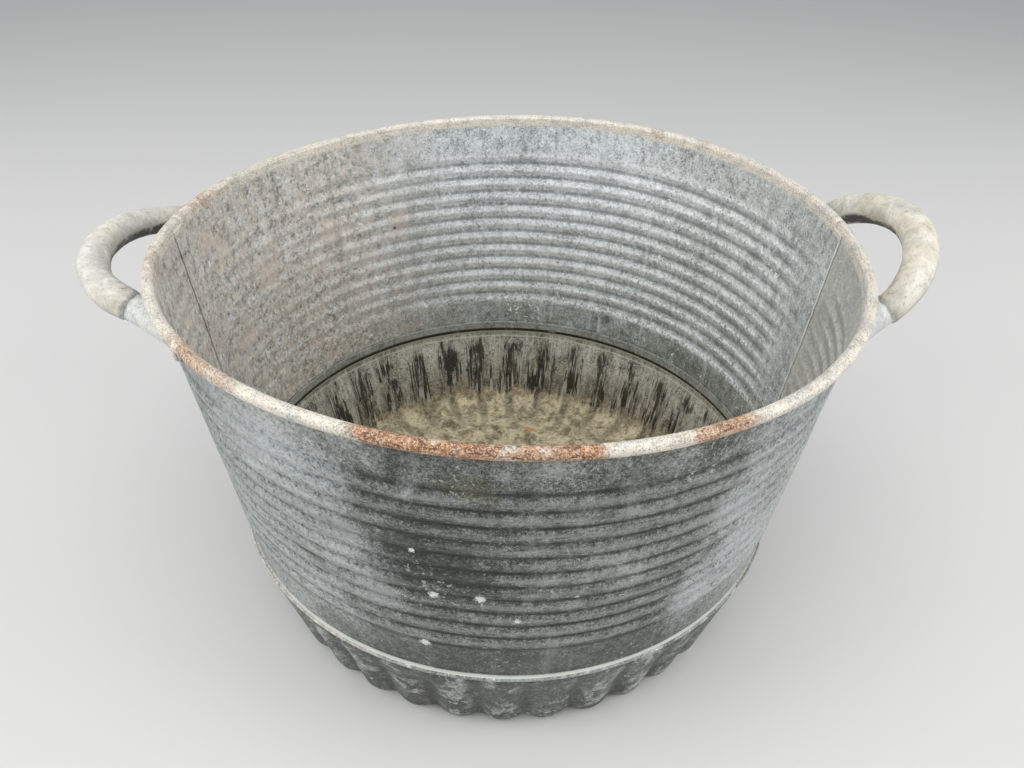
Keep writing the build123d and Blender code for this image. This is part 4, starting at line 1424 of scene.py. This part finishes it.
def foot_rings():
    """All the rings of the right-hand rear foot, from the stub's end to the flange's edge."""
    joint = grip_place(GRIP_END)
    way = joint.col[2].to_3d()
    clear = Matrix.Translation(way * JOINT_GAP) @ joint
    rings = [circle_places(grip_place(GRIP_END - STUB_TURN * i / 4), STUB_RADIUS) for i in range(4)]
    rings += [circle_places(clear, STUB_RADIUS), circle_places(clear, NECK_RADIUS - 0.25 * MM)]
    rings.append(circle_places(Matrix.Translation(way * 0.3 * MM) @ clear, NECK_RADIUS))
    target = spot_on_wall(FOOT_ANGLE, 0, 0, FOOT_OUTWARD)
    neck_origin = joint.translation + way * NECK_LENGTH
    for i in range(1, 5):
        origin = joint.translation.lerp(neck_origin, i / 5)
        bent = way.lerp((target - neck_origin).normalized(), 0.5 * i / 5)
        rings.append(circle_places(square_to(origin, bent, GRIP_UP), NECK_RADIUS))
    half_way = way + (target - neck_origin).normalized()
    throat = circle_places(square_to(neck_origin, half_way, GRIP_UP), NECK_RADIUS)
    rings.append(throat)
    base = oval_on_wall(FLARE_HALF_LENGTH, FLARE_HALF_HEIGHT, FOOT_OUTWARD)
    flare_steps = 12
    for i in range(1, flare_steps + 1):
        turn = pi / 2 * i / flare_steps
        ahead, wide = sin(turn), 1 - cos(turn)
        wide = 0.85 * ahead + 0.15 * wide
        rings.append([
            neck_origin.lerp(target, ahead)
            + (start - neck_origin).lerp(end - target, wide)
            for start, end in zip(throat, base)
        ])
    for share in (0.3, 0.6, 0.85, 1.0):
        length = FLARE_HALF_LENGTH + (FLANGE_HALF_LENGTH - FLARE_HALF_LENGTH) * share
        height = FLARE_HALF_HEIGHT + (FLANGE_HALF_HEIGHT - FLARE_HALF_HEIGHT) * share
        rings.append(oval_on_wall(length, height, FOOT_OUTWARD))
    return rings


# %% Foot finish
def make_foot_finish():
    """Smooth pale grey zinc, chalky in patches."""
    material, tree, shader, place = new_material("foot_zinc", 0.12)
    zinc = use_group(tree, OLD_ZINC, {
        "Vector": place, "Dark": tint(160, 162, 160), "Middle": tint(201, 202, 198),
        "Light": tint(226, 227, 222), "Contrast": 1.6})
    patch = clouds(tree, place, 75.0, 6.0, 0.7)
    colour = blend(tree, maths(tree, "MULTIPLY", between(tree, patch, 0.52, 0.66), 0.5),
                   zinc["Color"], tint(222, 218, 206))
    spots = use_group(tree, FLECKS, {"Vector": place, "Scale": 190.0, "Amount": 0.5})
    colour = blend(tree, maths(tree, "MULTIPLY", spots["Mask"], 0.6), colour, tint(96, 95, 88))
    end_material(tree, shader, colour, zinc["Roughness"], zinc["Height"], 0.5, 0.0006)
    return material


FOOT_ZINC = make_foot_finish()


# %% Make the feet
def make_foot(side, end, name, node):
    """One foot, mirrored to its side and its end."""
    bm = bmesh.new()
    bridge_rings(bm, [add_loop(bm, places) for places in foot_rings()])
    bmesh.ops.scale(bm, verts=bm.verts, vec=(side, end, 1))
    face_out(bm)
    wear(bm)
    return finish_piece(bm, name, node, [FOOT_ZINC], FOOT_SHEET, even=False)


for side, side_name in ((1, "right"), (-1, "left")):
    for end, end_name in ((1, "rear"), (-1, "front")):
        node = f"{side_name}_{end_name}_foot"
        make_foot(side, end, node + "_pressing", node)

# %% [markdown]
# ## The rivets
#
# Wall rivets have a domed head outside and a flattened one inside. Thin rivets with low heads pin the
# stubs in the grips. Each is one spun section, copied to its place.

# %% Rivet helpers
WALL_RIVET = 2.5 * MM
RIVET_SPACING = 45 * MM
DOME_RADIUS = 5.0 * MM
DOME_HEIGHT = 2.6 * MM
TAIL_RADIUS = 4.5 * MM
TAIL_HEIGHT = 0.5 * MM
HEAD_GAP = 0.1 * MM
GRIP_RIVET = 1.5 * MM
GRIP_HEAD = 3.0 * MM
GRIP_HEAD_HEIGHT = 0.6 * MM


def add_spun(bm, points, place, steps=28):
    """Spins a section about Z and moves it to its place."""
    start = len(bm.verts)
    verts = [bm.verts.new((x, 0, z)) for x, z in points]
    edges = [bm.edges.new(pair) for pair in zip(verts, verts[1:])]
    bmesh.ops.spin(
        bm, geom=verts + edges, cent=(0, 0, 0), axis=(0, 0, 1), angle=tau, steps=steps, use_merge=True,
        use_duplicate=False)
    bm.verts.ensure_lookup_table()
    bmesh.ops.transform(bm, verts=bm.verts[start:], matrix=place)


def dome(radius, height, level, count=7):
    """A rounded head from its middle to its edge, above a level. A negative height hangs it below."""
    turns = [pi / 2 * i / count for i in range(count + 1)]
    return [(radius * sin(turn), level + height * cos(turn) ** 0.8) for turn in turns]


def rivet_section(head, head_height, top, shank, tail, tail_height, bottom):
    """A whole rivet: head, shank and tail."""
    points = dome(head, head_height, top)
    points += [(shank, top), (shank, bottom)]
    return points + dome(tail, -tail_height, bottom)[::-1]


def finish_rivets(bm, name, node, finish):
    """Closes the poles, and makes the object."""
    bmesh.ops.remove_doubles(bm, verts=bm.verts, dist=0.00001)
    bmesh.ops.recalc_face_normals(bm, faces=bm.faces)
    wear(bm)
    return finish_piece(bm, name, node, [finish])


# %% Make the rivets
def make_foot_rivets(side, name, node):
    """Two rivets through each of a side's two feet."""
    bm = bmesh.new()
    section = rivet_section(
        DOME_RADIUS, DOME_HEIGHT, FOOT_OUTWARD + HEAD_GAP, WALL_RIVET,
        TAIL_RADIUS, TAIL_HEIGHT, -SHEET - HEAD_GAP)
    outward = Vector((-INWARD.x, 0, -INWARD.y))
    for end in (-1, 1):
        for across in (-RIVET_SPACING, RIVET_SPACING):
            spot = spot_on_wall(end * FOOT_ANGLE, across, 0, 0)
            turn = Matrix.Rotation(atan2(spot.y, spot.x), 3, "Z")
            add_spun(bm, section, square_to(spot, turn @ outward, Vector((0, 0, 1))))
    bmesh.ops.scale(bm, verts=bm.verts, vec=(side, 1, 1))
    return finish_rivets(bm, name, node, WALL_INSIDE)


def make_grip_rivets(side, name, node):
    """One thin rivet across each end of a grip."""
    bm = bmesh.new()
    turn = GRIP_END - STUB_TURN / 2
    level = grip_radius(turn) + HEAD_GAP
    section = rivet_section(
        GRIP_HEAD, GRIP_HEAD_HEIGHT, level, GRIP_RIVET, GRIP_HEAD, GRIP_HEAD_HEIGHT, -level)
    for end in (-1, 1):
        add_spun(bm, section, square_to(grip_place(end * turn).translation, GRIP_UP, GRIP_ACROSS))
    bmesh.ops.scale(bm, verts=bm.verts, vec=(side, 1, 1))
    return finish_rivets(bm, name, node, GRIP_ZINC)


for side, side_name in ((1, "right"), (-1, "left")):
    make_foot_rivets(side, f"{side_name}_wall_rivets", f"{side_name}_foot_rivets")
    make_grip_rivets(side, f"{side_name}_pin_rivets", f"{side_name}_grip_rivets")

# %% [markdown]
# ## The stage
#
# A pale floor, a soft lamp above and an even world. The floor is plain, and takes the tub's shadow.


# %% Floor
def make_floor():
    """A wide pale disc under the tub."""
    bm = bmesh.new()
    bmesh.ops.create_circle(bm, cap_ends=True, segments=96, radius=14.0)
    mesh = bpy.data.meshes.new("floor")
    bm.to_mesh(mesh)
    bm.free()
    floor = bpy.data.objects.new("floor", mesh)
    bpy.context.scene.collection.objects.link(floor)
    material = bpy.data.materials.new("pale_floor")
    material.use_nodes = True
    shader = next(n for n in material.node_tree.nodes if n.type == "BSDF_PRINCIPLED")
    shader.inputs["Base Color"].default_value = tint(214, 213, 210)
    shader.inputs["Roughness"].default_value = 0.9
    mesh.materials.append(material)
    return floor


floor = make_floor()


# %% Lamps and world
def add_area_lamp(name, place, target, size, watts):
    """A square soft lamp that looks at a target."""
    data = bpy.data.lights.new(name, "AREA")
    data.shape = "SQUARE"
    data.size = size
    data.energy = watts
    lamp = bpy.data.objects.new(name, data)
    lamp.location = place
    lamp.rotation_euler = (Vector(target) - Vector(place)).to_track_quat("-Z", "Y").to_euler()
    bpy.context.scene.collection.objects.link(lamp)
    return lamp


add_area_lamp("sky_panel", (-0.2, -0.9, 2.5), (0, 0, 0.15), 2.4, 42)
add_area_lamp("left_panel", (-2.4, -0.5, 1.3), (0, 0, 0.2), 1.4, 24)
add_area_lamp("right_panel", (2.4, -0.5, 1.3), (0, 0, 0.2), 1.4, 26)

world = bpy.data.worlds.new("studio")
bpy.context.scene.world = world
world.use_nodes = True
world.node_tree.nodes["Background"].inputs["Color"].default_value = tint(236, 240, 245)
world.node_tree.nodes["Background"].inputs["Strength"].default_value = 0.55

# %% [markdown]
# ## The camera
#
# The camera stands in front of the tub at a person's eye height and looks down into it. Its place, tilt
# and lens were found by matching the rim, the hem, the ribs and the grips to the photograph.

# %% Camera
CAMERA_DISTANCE = 2.3292
CAMERA_HEIGHT_ANGLE = radians(24.74)
CAMERA_EXTRA_TILT = radians(11.15)
CAMERA_YAW = radians(-0.21)
CAMERA_ROLL = radians(1.19)
# How far round the tub the camera stands
CAMERA_TURN = radians(-2)
FOCAL_PIXELS = 790.7
IMAGE_WIDTH = 1024
SENSOR = 36.0
RIM_OUTER = 0.29


def make_camera():
    """Turns the matched camera into Blender's: right, up and backwards are its three axes."""
    data = bpy.data.cameras.new("camera")
    data.sensor_width = SENSOR
    data.lens = FOCAL_PIXELS * SENSOR / IMAGE_WIDTH
    camera = bpy.data.objects.new("camera", data)
    reach = CAMERA_DISTANCE * RIM_OUTER
    place = Vector((0, -reach * cos(CAMERA_HEIGHT_ANGLE), reach * sin(CAMERA_HEIGHT_ANGLE)))
    ahead = -place.normalized()
    right = Vector((1, 0, 0))
    up = right.cross(ahead)
    looking = Matrix((right, -up, ahead))
    turned = (
        Matrix.Rotation(CAMERA_ROLL, 3, "Z")
        @ Matrix.Rotation(CAMERA_EXTRA_TILT, 3, "X")
        @ Matrix.Rotation(CAMERA_YAW, 3, "Y")
        @ looking
    )
    axes = Matrix((turned[0], -turned[1], -turned[2])).transposed()
    stand = Matrix.Translation(place + Vector((0, 0, RIM_CENTRE.y))) @ axes.to_4x4()
    camera.matrix_world = Matrix.Rotation(CAMERA_TURN, 4, "Z") @ stand
    bpy.context.scene.collection.objects.link(camera)
    bpy.context.scene.camera = camera
    return camera


camera = make_camera()
bpy.context.scene.view_settings.view_transform = "Standard"
print("camera at", [round(v, 3) for v in camera.matrix_world.translation])
